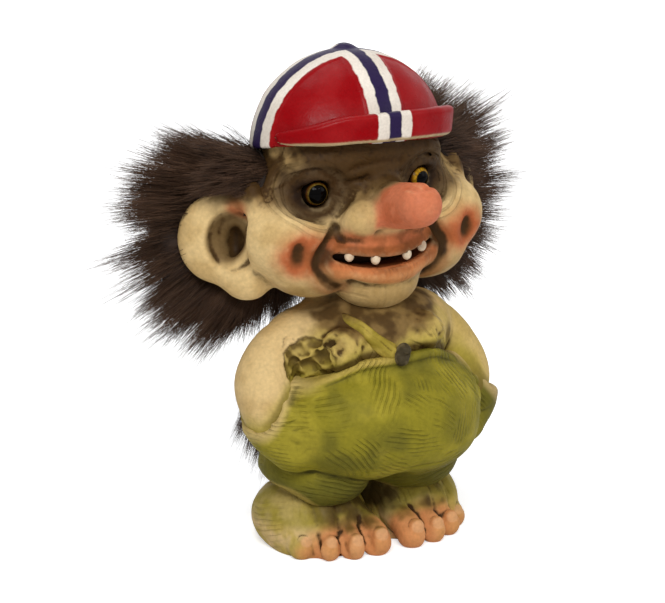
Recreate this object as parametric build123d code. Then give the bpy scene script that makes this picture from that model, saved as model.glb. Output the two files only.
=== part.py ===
"""A folk troll figure: rubber castings, glass eyes, faux-fur wig and tail tuft, and a flag cap.

The figure stands on z = 0 and looks along -Y. Its right side is at -X. Units are millimetres.
"""
from build123d import *
from build123d.topology import SkipClean

import math
import os
from collections import namedtuple

# Fits
GLUE_GAP = 0.1  # between pieces that are glued together
CAP_SEAT = 0.3  # between the cap's lining and the crown of the head
FUR_GAP = 0.3  # between fur and the pieces it lies against
SWING_GAP = 0.5  # between the tail tuft and the seat of the trousers, over the whole swing

# Walls
HEAD_WALL = 6.0
BODY_WALL = 4.5
CAP_WALL = 2.4
WIG_BACKING = 1.0

# Levels, each counted from the one before it
CUFF_HEIGHT = 10.0  # floor to the bottom of the trouser legs
CUFF_TO_BELLY = 31.0  # to the middle of the belly
BELLY_TO_WAIST = 16.5  # to the top edge of the trousers
BELLY_TO_CHEST = 20.0  # to the middle of the chest
CHEST_TO_FACE = 38.5  # to the middle of the face
FACE_TO_CAP = 19.0  # to the rim of the cap

# Feet
TOE_RADII = (4.5, 4.0, 3.9, 3.7)  # from the big toe outwards
TOE_PLACES = (6.3, 14.2, 21.2, 26.6)  # from the middle plane
TOE_TIPS = (-20.3, -19.2, -16.2, -11.0)
TOE_LENGTH = 13.0
TOE_SLOPE = 18.0  # degrees that a toe falls towards its tip
TOE_SINK = 0.2  # how far a toe's round underside is cut flat
INSTEP_WIDTH = 30.4
INSTEP_LENGTH = 40.0
INSTEP_HEIGHT = 23.0
INSTEP_MIDDLE = 5.0  # floor to the middle of the instep
INSTEP_BACK = 1.0  # behind the middle of the leg
HEEL_WIDTH = 24.0
HEEL_LENGTH = 27.0
HEEL_HEIGHT = 18.0
HEEL_MIDDLE = 4.0
HEEL_BACK = 27.5
HEEL_INSET = 1.5  # heel towards the middle plane
ANKLE_RADIUS = 8.0
ANKLE_LENGTH = 10.0
ANKLE_BACK = 2.0  # behind the middle of the leg

# Trousers
BELLY_WIDTH = 70.0
BELLY_DEPTH = 60.0
BELLY_HEIGHT = 41.0
BELLY_FRONT = 1.5
SEAT_WIDTH = 64.0
SEAT_DEPTH = 50.0
SEAT_HEIGHT = 36.0
SEAT_BACK = 7.0
SEAT_DROP = 4.0  # below the middle of the belly
LEG_WIDTH = 31.0
LEG_DEPTH = 36.0
LEG_HEIGHT = 24.0
LEG_BACK = 3.0
POCKET_WIDTH = 19.0
POCKET_DEPTH = 27.0
POCKET_HEIGHT = 26.0
POCKET_FRONT = 3.0
POCKET_INSET = 2.0  # pocket's middle inside the side of the belly
WAIST_COLLAR = 2.2  # how far the top of the trousers stands off the chest
WAIST_FLAT = 9.0  # from the middle plane to where the edge starts to drop to the pockets
WAIST_SLOPE = 27.0  # degrees
WAIST_BACK = 8.0  # behind this the edge is level
WAIST_SPIGOT_RADIUS = 12.0
WAIST_SPIGOT_LENGTH = 8.0

# Upper body
CHEST_WIDTH = 56.0
CHEST_DEPTH = 39.0
CHEST_HEIGHT = 32.0
CHEST_BACK = 1.0
SHOULDER_WIDTH = 50.0  # between the middles of the shoulders
SHOULDER_RADIUS = 12.0
SHOULDER_HEIGHT = 21.6
SHOULDER_BACK = 3.0
SHOULDER_LIFT = 4.0  # above the middle of the chest
ARM_THICKNESS = 18.0
ARM_DEPTH = 21.6
ARM_LENGTH = 36.0
ARM_OUT = 5.0  # from the middle of the shoulder to the middle of the upper arm
ARM_BACK = 1.5
ARM_DROP = 3.0  # below the middle of the chest
ARM_LEAN = 19.0  # degrees that the upper arm leans out
ELBOW_WIDTH = 16.0
ELBOW_DEPTH = 22.0
ELBOW_HEIGHT = 23.0
ELBOW_INSET = 1.0  # elbow's middle inside the side of the belly
ELBOW_LIFT = 6.0  # above the middle of the belly
STRAP_WIDTH = 6.5
STRAP_THICKNESS = 1.6
STRAP_LEAN = 45.0  # degrees from upright
STRAP_LIFT = 1.5  # above the waist, where the strap crosses the middle plane
BUTTON_RADIUS = 3.6
BUTTON_THICKNESS = 2.6
BUTTON_ROUNDING = 0.8

# Head
FACE_WIDTH = 72.0
FACE_DEPTH = 33.0
FACE_HEIGHT = 48.0
FACE_BACK = 8.0
CHEEK_WIDTH = 29.0
CHEEK_DEPTH = 26.0
CHEEK_HEIGHT = 26.0
CHEEK_SPACING = 50.0
CHEEK_DROP = 4.5
CHEEK_BACK = 1.5
JAW_WIDTH = 52.0
JAW_DEPTH = 37.0
JAW_HEIGHT = 28.0
JAW_DROP = 15.5
JAW_BACK = 3.0
MUZZLE_WIDTH = 39.0
MUZZLE_DEPTH = 27.0
MUZZLE_HEIGHT = 24.0
MUZZLE_FRONT = 12.0  # how far the muzzle's middle lies in front of the face's middle
MUZZLE_DROP = 11.5
NECK_RADIUS = 13.0
NECK_DEPTH = 12.0  # length of the neck inside the chest
NOSE_RADIUS = 6.9
NOSE_REACH = 20.0  # bridge to the middle of the nose's bulb
NOSE_ROOT_RADIUS = 6.5
NOSE_LIFT = 4.5  # above the middle of the face
NOSE_RISE = 10.0  # degrees that the nose points up
NOSE_FLARE = 0.9  # how much wider the bridge is at the face
NOSE_BEDDING = 4.0  # length of the bridge inside the face
NOSTRIL_RADIUS = 5.2
NOSTRIL_SPACING = 15.0
NOSTRIL_FRONT = 3.6  # in front of the bridge
NOSTRIL_DROP = 3.0  # below the root of the nose

# Mouth and teeth
MOUTH_DROP = 11.3  # below the middle of the face
SMILE_RADIUS = 52.0
MOUTH_WIDTH = 36.0
MOUTH_OFFSET = -1.5  # towards the figure's right
MOUTH_OPENING = 3.4
MOUTH_DEPTH = 4.0
TOOTH_PLACES = (-13.5, -6.5, 4.0, 10.5)
TOOTH_WIDTH = 3.0
TOOTH_LENGTH = 3.4
TOOTH_THICKNESS = 2.4
TOOTH_HIDDEN = 0.3  # share of a tooth above the upper lip's edge

# Eyes
EYE_DIAMETER = 8.0
EYE_SPACING = 34.3
EYE_OFFSET = -1.65  # both eyes towards the figure's right
EYE_LIFT = 8.6  # above the middle of the face
EYE_TURN = 10.0  # degrees that each eye looks outwards
EYE_BACK_CUT = 0.6  # from the eye's middle to its flat back
EYE_SHOW = 0.3  # share of the radius that stands out of the face
IRIS_DIAMETER = 7.0
IRIS_THICKNESS = 0.5
PUPIL_DIAMETER = 3.8

# Ears
EAR_HEIGHT = 27.0
EAR_WIDTH = 24.6
EAR_THICKNESS = 10.0
EAR_SWEEP = 33.0  # degrees that the ear's rim is swept back
EAR_DROP = 5.5  # below the middle of the face
EAR_BACK = 5.9  # behind the middle of the face
EAR_OUT = 4.5  # from the side of the face to the middle of the ear
EAR_RIM = 4.0
EAR_RIM_TOP = 4.5
EAR_HOLLOW_INSET = 1.0
LOBE_DIAMETER = 15.0
LOBE_INSET = 1.5  # lobe's middle inside the side of the face
LOBE_RAISE = 2.5  # lobe's middle above the ear's lowest point
LOBE_BACK = 1.0

# Cap
CAP_WIDTH = 61.0
CAP_DEPTH = 44.0
CAP_HEIGHT = 27.0
CAP_BACK = 9.0
CAP_TILT = 11.0  # degrees that the cap leans back
CAP_ROLL = 4.0  # degrees that the cap leans to the figure's left
BRIM_WIDTH = 57.2
BRIM_PROJECTION = 3.5
BRIM_DEPTH = 24.4
BRIM_HEIGHT = 9.4
BRIM_FLARE = 1.5  # how far its top edge stands outside its foot
CAP_BUTTON_RADIUS = 3.0
CAP_LIFT_TRAVEL = 50.0

# Wig
WIG_SPREAD = 132.0  # over the two sides
WIG_HEIGHT = 64.0
WIG_DEPTH = 30.0
WIG_BEHIND_FACE = 20.0
WIG_LEFT_DROP = 1.0  # below the middle of the face
WIG_RIGHT_DROP = 6.0
WIG_REAR_DEPTH = 34.0
WIG_REAR_HEIGHT = 60.0
WIG_REAR_OVERLAP = 3.0  # how far the rear hair runs into the side hair
WIG_REAR_BACK = 4.0  # behind the side hair
WIG_REAR_LIFT = 2.0
NAPE_WIDTH = 40.0
NAPE_DEPTH = 26.0
NAPE_HEIGHT = 46.0
NAPE_OUT = 6.0  # low hair on the left, outside the middle of the side hair
NAPE_FRONT = 4.0
NAPE_DROP = 14.5
TEMPLE_WIDTH = 22.0
TEMPLE_DEPTH = 24.0
TEMPLE_HEIGHT = 26.0
TEMPLE_SPACING = 72.0  # between the hair on both temples
TEMPLE_BACK = 8.0  # behind the middle of the face
TEMPLE_LIFT = 11.0  # above the middle of the face
WIG_PART = 25.0  # from the middle plane to the joint between the side and the back

# Tail
TAIL_RADIUS = 2.4
TAIL_ROOT_RADIUS = 3.6  # round root that turns in the seat
TAIL_DROP = 14.0
TAIL_LIFT = 4.0  # above the middle of the belly
TAIL_BEND = 6.0
TUFT_WIDTH = 36.0
TUFT_DEPTH = 17.0
TUFT_HEIGHT = 38.0
TUFT_STANDOFF = 2.0  # from the seat to the tuft

HALF = 0.5
LEFT, RIGHT = 1, -1
FAR = 400.0  # larger than the figure
POLE = 86.0  # degrees of latitude where a ball ends in a small flat

Egg = namedtuple("Egg", "x y z width depth height turn lean", defaults=(0.0, 0.0))


def unit_ball():
    """A ball of radius 1 with its skin in four quarters, so that no face has a seam or closes to a point."""
    quarter = Sphere(1, arc_size1=-POLE, arc_size2=POLE, arc_size3=90, align=None)
    with SkipClean():
        return quarter.fuse(*(Rot(0, 0, 90 * turn) * quarter for turn in (1, 2, 3)))


BALL = unit_ball()


def egg_solid(egg, grow=0.0):
    """The ellipsoid of an egg, with every half-axis longer by grow."""
    half_axes = (egg.width * HALF + grow, egg.depth * HALF + grow, egg.height * HALF + grow)
    return Pos(egg.x, egg.y, egg.z) * Rot(0, egg.lean, egg.turn) * scale(BALL, by=half_axes)


def front_of(egg, x, z):
    """The y of the front surface of an upright egg at x and z."""
    across = ((x - egg.x) / (egg.width * HALF)) ** 2
    upright = ((z - egg.z) / (egg.height * HALF)) ** 2
    return egg.y - egg.depth * HALF * math.sqrt(1 - across - upright)


def back_of(egg, x, z):
    """The y of the back surface of an upright egg at x and z."""
    return 2 * egg.y - front_of(egg, x, z)


def joined(shapes):
    """All the shapes fused into one."""
    first, *others = shapes
    return first.fuse(*others)


def both(shape):
    """A shape on the figure's left and its mirror image on the right."""
    return [shape, mirror(shape, about=Plane.YZ)]


def space(x=0.0, y=0.0, z=0.0):
    """A block of space far larger than the figure, with its middle moved by whole halves of its size."""
    return Pos(x * FAR * HALF, y * FAR * HALF, z * FAR * HALF) * Box(FAR, FAR, FAR)


def above(z):
    """Everything above a level."""
    return Pos(0, 0, z) * space(z=1)


def below(z):
    """Everything below a level."""
    return Pos(0, 0, z) * space(z=-1)


def largest(shape):
    """The largest solid of a shape."""
    return max(shape.solids(), key=lambda solid: solid.volume)


# Heights of the levels
belly_z = CUFF_HEIGHT + CUFF_TO_BELLY
waist_z = belly_z + BELLY_TO_WAIST
chest_z = belly_z + BELLY_TO_CHEST
face_z = chest_z + CHEST_TO_FACE
cap_z = face_z + FACE_TO_CAP

# Forms of the body
belly = Egg(0, -BELLY_FRONT, belly_z, BELLY_WIDTH, BELLY_DEPTH, BELLY_HEIGHT)
seat = Egg(0, SEAT_BACK, belly_z - SEAT_DROP, SEAT_WIDTH, SEAT_DEPTH, SEAT_HEIGHT)
leg = Egg(
    x=LEG_WIDTH * HALF,
    y=LEG_BACK,
    z=CUFF_HEIGHT + LEG_HEIGHT * HALF,
    width=LEG_WIDTH,
    depth=LEG_DEPTH,
    height=LEG_HEIGHT,
)
pocket = Egg(
    x=BELLY_WIDTH * HALF - POCKET_INSET,
    y=-POCKET_FRONT,
    z=belly_z,
    width=POCKET_WIDTH,
    depth=POCKET_DEPTH,
    height=POCKET_HEIGHT,
)
chest = Egg(0, CHEST_BACK, chest_z, CHEST_WIDTH, CHEST_DEPTH, CHEST_HEIGHT)
shoulder = Egg(
    x=SHOULDER_WIDTH * HALF,
    y=SHOULDER_BACK,
    z=chest_z + SHOULDER_LIFT,
    width=SHOULDER_RADIUS * 2,
    depth=SHOULDER_RADIUS * 2,
    height=SHOULDER_HEIGHT,
)
upper_arm = Egg(
    x=shoulder.x + ARM_OUT,
    y=ARM_BACK,
    z=chest_z - ARM_DROP,
    width=ARM_THICKNESS,
    depth=ARM_DEPTH,
    height=ARM_LENGTH,
    lean=-ARM_LEAN,
)
elbow = Egg(
    x=BELLY_WIDTH * HALF - ELBOW_INSET,
    y=0,
    z=belly_z + ELBOW_LIFT,
    width=ELBOW_WIDTH,
    depth=ELBOW_DEPTH,
    height=ELBOW_HEIGHT,
)

# Forms of the head
face = Egg(0, FACE_BACK, face_z, FACE_WIDTH, FACE_DEPTH, FACE_HEIGHT)
cheek = Egg(
    x=CHEEK_SPACING * HALF,
    y=CHEEK_BACK,
    z=face_z - CHEEK_DROP,
    width=CHEEK_WIDTH,
    depth=CHEEK_DEPTH,
    height=CHEEK_HEIGHT,
)
jaw = Egg(0, JAW_BACK, face_z - JAW_DROP, JAW_WIDTH, JAW_DEPTH, JAW_HEIGHT)
muzzle = Egg(0, FACE_BACK - MUZZLE_FRONT, face_z - MUZZLE_DROP, MUZZLE_WIDTH, MUZZLE_DEPTH, MUZZLE_HEIGHT)
ear = Egg(
    x=FACE_WIDTH * HALF + EAR_OUT,
    y=FACE_BACK + EAR_BACK,
    z=face_z - EAR_DROP,
    width=EAR_WIDTH,
    depth=EAR_THICKNESS,
    height=EAR_HEIGHT,
    turn=EAR_SWEEP,
)
ear_out = (math.cos(math.radians(EAR_SWEEP)), math.sin(math.radians(EAR_SWEEP)))
ear_hollow = ear._replace(
    x=ear.x - EAR_HOLLOW_INSET * ear_out[0] + EAR_THICKNESS * HALF * ear_out[1],
    y=ear.y - EAR_HOLLOW_INSET * ear_out[1] - EAR_THICKNESS * HALF * ear_out[0],
    width=EAR_WIDTH - 2 * EAR_RIM,
    height=EAR_HEIGHT - 2 * EAR_RIM_TOP,
)
lobe = Egg(
    x=FACE_WIDTH * HALF - LOBE_INSET,
    y=FACE_BACK + LOBE_BACK,
    z=ear.z - EAR_HEIGHT * HALF + LOBE_RAISE,
    width=LOBE_DIAMETER,
    depth=EAR_THICKNESS,
    height=LOBE_DIAMETER,
)
cap_place = Pos(0, CAP_BACK, cap_z) * Rot(-CAP_TILT, CAP_ROLL, 0)


def cap_form(grow):
    """The whole ellipsoid of the cap, in the cap's own place."""
    half_axes = (CAP_WIDTH * HALF + grow, CAP_DEPTH * HALF + grow, CAP_HEIGHT + grow)
    return cap_place * scale(BALL, by=half_axes)


# Feet
instep = Egg(leg.x, leg.y + INSTEP_BACK, INSTEP_MIDDLE, INSTEP_WIDTH, INSTEP_LENGTH, INSTEP_HEIGHT)
heel = Egg(
    x=leg.x - HEEL_INSET,
    y=HEEL_BACK - HEEL_LENGTH * HALF,
    z=HEEL_MIDDLE,
    width=HEEL_WIDTH,
    depth=HEEL_LENGTH,
    height=HEEL_HEIGHT,
)


def toe(x, tip_y, radius):
    """A toe that runs down and forward out of the instep to a round tip."""
    place = Pos(x, tip_y + radius, radius - TOE_SINK) * Rot(-90 + TOE_SLOPE, 0, 0)
    bar = Cylinder(radius, TOE_LENGTH, align=(Align.CENTER, Align.CENTER, Align.MIN))
    return place * (Sphere(radius) + bar)


def ankle(grow):
    """The round ankle that plugs into a trouser leg."""
    bottom = INSTEP_MIDDLE
    top = CUFF_HEIGHT + ANKLE_LENGTH + grow
    post = Cylinder(ANKLE_RADIUS + grow, top - bottom)
    return Pos(leg.x, leg.y + ANKLE_BACK, (bottom + top) * HALF) * post


def left_foot():
    """A bare foot with its toes, flat underneath, and its ankle."""
    toes = [toe(*values) for values in zip(TOE_PLACES, TOE_TIPS, TOE_RADII)]
    form = joined([egg_solid(instep), egg_solid(heel), *toes])
    return form - trousers_form(GLUE_GAP) + ankle(0) - below(0)


# Trousers, torso and arms
def waist_drop(lower):
    """The space above the trousers' edge at both sides, where it drops to the pockets, lowered."""
    wedge = Pos(WAIST_FLAT, 0, waist_z - lower) * Rot(0, WAIST_SLOPE, 0) * above(0)
    wedge = wedge & (Pos(WAIST_FLAT, WAIST_BACK, 0) * space(x=1, y=-1))
    return both(wedge)


def trousers_form(grow):
    """The trousers without their hollow."""
    lumps = [egg_solid(belly, grow), egg_solid(seat, grow), egg_solid(chest, WAIST_COLLAR + grow)]
    lumps += both(egg_solid(leg, grow)) + both(egg_solid(pocket, grow))
    form = joined(lumps) - above(waist_z + grow)
    for drop in waist_drop(-grow):
        form = form - drop
    return form


def waist_spigot(grow):
    """The round spigot under the torso that plugs into the waist."""
    length = WAIST_SPIGOT_LENGTH + grow
    return Pos(0, 0, waist_z - length * HALF) * Cylinder(WAIST_SPIGOT_RADIUS + grow, length)


def trousers():
    """The hollow trousers, with sockets for the waist, the ankles and the tail."""
    hollow = egg_solid(belly, -BODY_WALL) - above(waist_z - BODY_WALL)
    for drop in waist_drop(BODY_WALL):
        hollow = hollow - drop
    shell = trousers_form(0) - hollow - waist_spigot(GLUE_GAP)
    for socket in both(ankle(GLUE_GAP)):
        shell = shell - socket
    return shell - tail_root(SWING_GAP)


def torso():
    """The hollow chest and shoulders, standing on the waist of the trousers."""
    form = joined([egg_solid(chest), *both(egg_solid(shoulder))])
    form = form - trousers_form(GLUE_GAP)
    hollow = egg_solid(chest, -BODY_WALL) - below(waist_z + BODY_WALL)
    floor = Pos(0, 0, waist_z + BODY_WALL * HALF) * Cylinder(WAIST_SPIGOT_RADIUS, BODY_WALL)
    return largest(form - hollow + floor + waist_spigot(0) - head_form(GLUE_GAP))


def left_arm():
    """An arm from the shoulder to the pocket, seated on the torso and the trousers."""
    form = egg_solid(upper_arm) + egg_solid(elbow)
    form = form - egg_solid(shoulder, GLUE_GAP) - egg_solid(chest, GLUE_GAP)
    return largest(form - trousers_form(GLUE_GAP) - head_form(GLUE_GAP))


def shoulder_strap():
    """The brace that runs up over the chest from the button to the right shoulder."""
    band = egg_solid(chest, STRAP_THICKNESS) - egg_solid(chest, GLUE_GAP)
    slab = Box(STRAP_WIDTH, FAR, FAR)
    band = band & (Pos(0, 0, waist_z + STRAP_LIFT) * Rot(0, -STRAP_LEAN, 0) * slab)
    band = band - below(waist_z + GLUE_GAP) - space(y=1) - (Pos(STRAP_WIDTH, 0, 0) * space(x=1))
    for side in both(egg_solid(shoulder, GLUE_GAP)):
        band = band - side
    return largest(band - head_form(GLUE_GAP) - trousers_form(GLUE_GAP))


def strap_button():
    """The round button at the lower end of the strap."""
    z = waist_z + BUTTON_RADIUS
    back = front_of(chest, 0, z)
    front = back - STRAP_THICKNESS - BUTTON_THICKNESS
    disc = Cylinder(BUTTON_RADIUS, back - front, align=(Align.CENTER, Align.CENTER, Align.MIN))
    disc = fillet(disc.edges().group_by(Axis.Z)[-1], BUTTON_ROUNDING)
    disc = Pos(0, back, z) * Rot(90, 0, 0) * disc
    return largest(disc - egg_solid(chest, STRAP_THICKNESS + GLUE_GAP) - trousers_form(GLUE_GAP))


# Head
nose_z = face_z + NOSE_LIFT
nose_root_y = front_of(face, 0, nose_z)
nose_place = Pos(0, nose_root_y, nose_z) * Rot(90 - NOSE_RISE, 0, 0)


def nose(grow):
    """A long nose with a round bulb and two nostrils."""
    bridge = Cone(
        bottom_radius=NOSE_ROOT_RADIUS + NOSE_FLARE + grow,
        top_radius=NOSE_ROOT_RADIUS + grow,
        height=NOSE_REACH + NOSE_BEDDING,
        align=(Align.CENTER, Align.CENTER, Align.MIN),
    )
    bridge = nose_place * Pos(0, 0, -NOSE_BEDDING) * bridge
    bulb = nose_place * Pos(0, 0, NOSE_REACH) * Sphere(NOSE_RADIUS + grow)
    nostril = Sphere(NOSTRIL_RADIUS + grow)
    nostril = Pos(NOSTRIL_SPACING * HALF, nose_root_y - NOSTRIL_FRONT, nose_z - NOSTRIL_DROP) * nostril
    return [bridge, bulb, *both(nostril)]


def neck(grow):
    """The neck that plugs into the chest."""
    bottom = chest_z + CHEST_HEIGHT * HALF - NECK_DEPTH - grow
    return Pos(0, FACE_BACK, (bottom + face_z) * HALF) * Cylinder(NECK_RADIUS + grow, face_z - bottom)


def head_form(grow):
    """The head without its hollow, mouth and eye sockets."""
    lumps = [cap_form(grow - CAP_WALL - CAP_SEAT), egg_solid(face, grow), egg_solid(jaw, grow)]
    lumps += [*both(egg_solid(cheek, grow)), egg_solid(muzzle, grow), *nose(grow), neck(grow)]
    return joined(lumps)


def head_hollow():
    """The hollow inside the head, open at the neck."""
    skull = cap_form(-CAP_WALL - CAP_SEAT - HEAD_WALL)
    bore = Pos(0, FACE_BACK, face_z) * Cylinder(
        NECK_RADIUS - HEAD_WALL, FAR, align=(Align.CENTER, Align.CENTER, Align.MAX)
    )
    return joined([skull, egg_solid(face, -HEAD_WALL), bore])


mouth_z = face_z - MOUTH_DROP


def mouth():
    """A slot bent along the smile, cut into the front of the muzzle."""
    outer = SMILE_RADIUS + MOUTH_OPENING * HALF
    ring = Cylinder(outer, FAR) - Cylinder(outer - MOUTH_OPENING, FAR)
    ring = Pos(MOUTH_OFFSET, 0, mouth_z + SMILE_RADIUS) * Rot(90, 0, 0) * ring
    width = Pos(MOUTH_OFFSET, 0, mouth_z) * Box(MOUTH_WIDTH, FAR, SMILE_RADIUS)
    front = Pos(0, muzzle.y, 0) * space(y=-1)
    return (ring & width & front) - egg_solid(muzzle, -MOUTH_DEPTH)


def head():
    """The hollow head casting with its mouth and eye sockets."""
    form = head_form(0) - head_hollow() - mouth()
    for side in (LEFT, RIGHT):
        form = form - eye_place(side) * eye_socket()
    return largest(form)


def tooth(x, head_casting):
    """A tooth that hangs in the mouth from the upper lip at x."""
    smile_z = mouth_z + SMILE_RADIUS - math.sqrt(SMILE_RADIUS**2 - (x - MOUTH_OFFSET) ** 2)
    z = smile_z + MOUTH_OPENING * HALF - TOOTH_LENGTH * (HALF - TOOTH_HIDDEN)
    y = front_of(muzzle, x, smile_z) + TOOTH_THICKNESS * HALF
    form = egg_solid(Egg(x, y, z, TOOTH_WIDTH, TOOTH_THICKNESS, TOOTH_LENGTH))
    return largest(form - head_casting)


# Eyes
eye_radius = EYE_DIAMETER * HALF


def eye_place(side):
    """The place of an eye on the figure's left or right, with its own Z along the look."""
    x = EYE_OFFSET + side * EYE_SPACING * HALF
    z = face_z + EYE_LIFT
    y = front_of(face, x, z) + eye_radius * (1 - EYE_SHOW)
    return Pos(x, y, z) * Rot(0, 0, side * EYE_TURN) * Rot(90, 0, 0)


def eye_socket():
    """The round pocket for an eye and its iris, in the eye's own place."""
    back = -EYE_BACK_CUT - IRIS_THICKNESS - GLUE_GAP
    hole = Cylinder(eye_radius + GLUE_GAP, FAR, align=(Align.CENTER, Align.CENTER, Align.MIN))
    return Pos(0, 0, back) * hole


def eye_glass():
    """A clear glass dome with a flat back."""
    return Sphere(eye_radius) - below(-EYE_BACK_CUT)


def eye_disc(radius, hole_radius):
    """A thin ring behind the glass, or a whole disc where the hole has no radius."""
    disc = Cylinder(radius, IRIS_THICKNESS)
    if hole_radius:
        disc = disc - Cylinder(hole_radius, IRIS_THICKNESS)
    return Pos(0, 0, -EYE_BACK_CUT - IRIS_THICKNESS * HALF) * disc


# Ears
def left_ear():
    """A large ear with a hollow bowl, glued to the side of the head."""
    form = egg_solid(ear) + egg_solid(lobe) - egg_solid(ear_hollow)
    for neighbour in (shoulder, upper_arm, chest):
        form = form - egg_solid(neighbour, GLUE_GAP)
    return largest(form - head_form(GLUE_GAP))


# Cap
def cap_crown():
    """The hollow crown of the cap."""
    return (cap_form(0) - cap_form(-CAP_WALL)) & (cap_place * above(0))


brim_y = -CAP_DEPTH * HALF - BRIM_PROJECTION + BRIM_DEPTH * HALF


def cap_brim():
    """The turned-up brim, a flared band around the front of the crown."""
    across, deep = BRIM_WIDTH * HALF, BRIM_DEPTH * HALF
    foot = Pos(0, brim_y, 0) * Ellipse(across, deep)
    edge = Pos(0, brim_y, BRIM_HEIGHT) * Ellipse(across + BRIM_FLARE, deep + BRIM_FLARE)
    return largest(cap_place * loft([foot, edge]) - cap_form(GLUE_GAP))


def cap_button():
    """The small button on the top of the crown."""
    return cap_place * Pos(0, 0, CAP_HEIGHT) * Sphere(CAP_BUTTON_RADIUS) - cap_form(GLUE_GAP)


def cap_path():
    """The space that the cap passes through as it lifts off."""
    crown = Ellipse(CAP_WIDTH * HALF + FUR_GAP, CAP_DEPTH * HALF + FUR_GAP)
    around = BRIM_FLARE + FUR_GAP
    brim = Pos(0, brim_y, 0) * Ellipse(BRIM_WIDTH * HALF + around, BRIM_DEPTH * HALF + around)
    return cap_place * Pos(0, 0, -FUR_GAP) * extrude(crown + brim, CAP_HEIGHT + CAP_LIFT_TRAVEL)


# Wig
left_hair = Egg(
    x=WIG_SPREAD * HALF - WIG_HEIGHT * HALF,
    y=FACE_BACK + WIG_BEHIND_FACE,
    z=face_z - WIG_LEFT_DROP,
    width=WIG_HEIGHT,
    depth=WIG_DEPTH,
    height=WIG_HEIGHT,
)
right_hair = left_hair._replace(x=-left_hair.x, z=face_z - WIG_RIGHT_DROP)
nape_hair = Egg(
    x=left_hair.x + NAPE_OUT,
    y=left_hair.y - NAPE_FRONT,
    z=left_hair.z - NAPE_DROP,
    width=NAPE_WIDTH,
    depth=NAPE_DEPTH,
    height=NAPE_HEIGHT,
)
temple_hair = Egg(
    x=TEMPLE_SPACING * HALF,
    y=FACE_BACK + TEMPLE_BACK,
    z=face_z + TEMPLE_LIFT,
    width=TEMPLE_WIDTH,
    depth=TEMPLE_DEPTH,
    height=TEMPLE_HEIGHT,
)
rear_hair = Egg(
    x=0,
    y=left_hair.y + WIG_REAR_BACK,
    z=(left_hair.z + right_hair.z) * HALF + WIG_REAR_LIFT,
    width=2 * (left_hair.x + WIG_REAR_OVERLAP),
    depth=WIG_REAR_DEPTH,
    height=WIG_REAR_HEIGHT,
)


def wig_form():
    """The outer shape of all the hair, clear of the cap, the ears and the shoulders."""
    lumps = [egg_solid(part) for part in (left_hair, right_hair, nape_hair, rear_hair)]
    form = joined(lumps + both(egg_solid(temple_hair))) - cap_path()
    for neighbour in (ear, lobe, shoulder, upper_arm):
        for side in both(egg_solid(neighbour, FUR_GAP)):
            form = form - side
    return form - egg_solid(chest, STRAP_THICKNESS + FUR_GAP)


def wig_backing(hair):
    """The cloth under the fur, glued around the back and sides of the head."""
    return largest((hair & head_form(WIG_BACKING)) - head_form(GLUE_GAP))


def wig_piece(hair, low, high):
    """The fur between two planes across the figure, outside the backing."""
    slab = Pos((low + high) * HALF, 0, 0) * Box(high - low, FAR, FAR)
    return largest((hair & slab) - head_form(WIG_BACKING + GLUE_GAP))


# Tail
tail_z = belly_z + TAIL_LIFT
tail_root_y = back_of(seat, 0, tail_z)
tuft = Egg(
    x=0,
    y=seat.y + SEAT_DEPTH * HALF + TUFT_STANDOFF + TUFT_DEPTH * HALF,
    z=tail_z - TAIL_DROP,
    width=TUFT_WIDTH,
    depth=TUFT_DEPTH,
    height=TUFT_HEIGHT,
)


def tail_rod(radius):
    """A round rod along the tail, from the seat to the middle of the tuft."""
    start = (0, tail_root_y, tail_z)
    corner = (0, tuft.y, tail_z)
    path = FilletPolyline(start, corner, (0, tuft.y, tuft.z), radius=TAIL_BEND)
    return sweep(Plane(start, x_dir=(1, 0, 0), z_dir=(0, 1, 0)) * Circle(radius), path=path)


def tail_root(grow):
    """The round root of the tail, half sunk in the seat."""
    return Pos(0, tail_root_y, tail_z) * Sphere(TAIL_ROOT_RADIUS + grow)


def tail_tuft():
    """The fur at the end of the tail."""
    return egg_solid(tuft) - tail_rod(TAIL_RADIUS + GLUE_GAP)


def pieces():
    """Every piece of the figure by name."""
    made = {"head": head(), "torso": torso(), "trousers": trousers()}
    for name, shape in (("ear", left_ear()), ("arm", left_arm()), ("foot", left_foot())):
        made["left_" + name], made["right_" + name] = both(shape)
    eye_parts = {
        "eye_glass": eye_glass(),
        "eye_iris": eye_disc(IRIS_DIAMETER * HALF, PUPIL_DIAMETER * HALF),
        "eye_pupil": eye_disc(PUPIL_DIAMETER * HALF - GLUE_GAP * HALF, 0),
    }
    for name, shape in eye_parts.items():
        made["left_" + name] = eye_place(LEFT) * shape
        made["right_" + name] = eye_place(RIGHT) * shape
    for number, x in enumerate(TOOTH_PLACES, 1):
        made[f"tooth_{number}"] = tooth(x, made["head"])
    made["cap_crown"] = cap_crown()
    made["cap_brim"] = cap_brim()
    made["cap_button"] = cap_button()
    made["shoulder_strap"] = shoulder_strap()
    made["strap_button"] = strap_button()
    hair = wig_form()
    made["wig_backing"] = wig_backing(hair)
    made["wig_right"] = wig_piece(hair, -FAR * HALF, -WIG_PART)
    made["wig_back"] = wig_piece(hair, -WIG_PART + GLUE_GAP, WIG_PART - GLUE_GAP)
    made["wig_left"] = wig_piece(hair, WIG_PART, FAR * HALF)
    made["tail"] = tail_rod(TAIL_RADIUS) + tail_root(0)
    made["tail_tuft"] = tail_tuft()
    return made


# The origin is on the floor, midway between the tip of the nose and the hair furthest back
hair_back = max(tuft.y + TUFT_DEPTH * HALF, rear_hair.y + WIG_REAR_DEPTH * HALF)
nose_tip = nose_place * Pos(0, 0, NOSE_REACH)
middle_y = (nose_tip.position.Y - NOSE_RADIUS + hair_back) * HALF

os.makedirs("parts", exist_ok=True)
for node, shape in pieces().items():
    export_step(Pos(0, -middle_y, 0) * shape, os.path.join("parts", node + ".step"))
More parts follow.
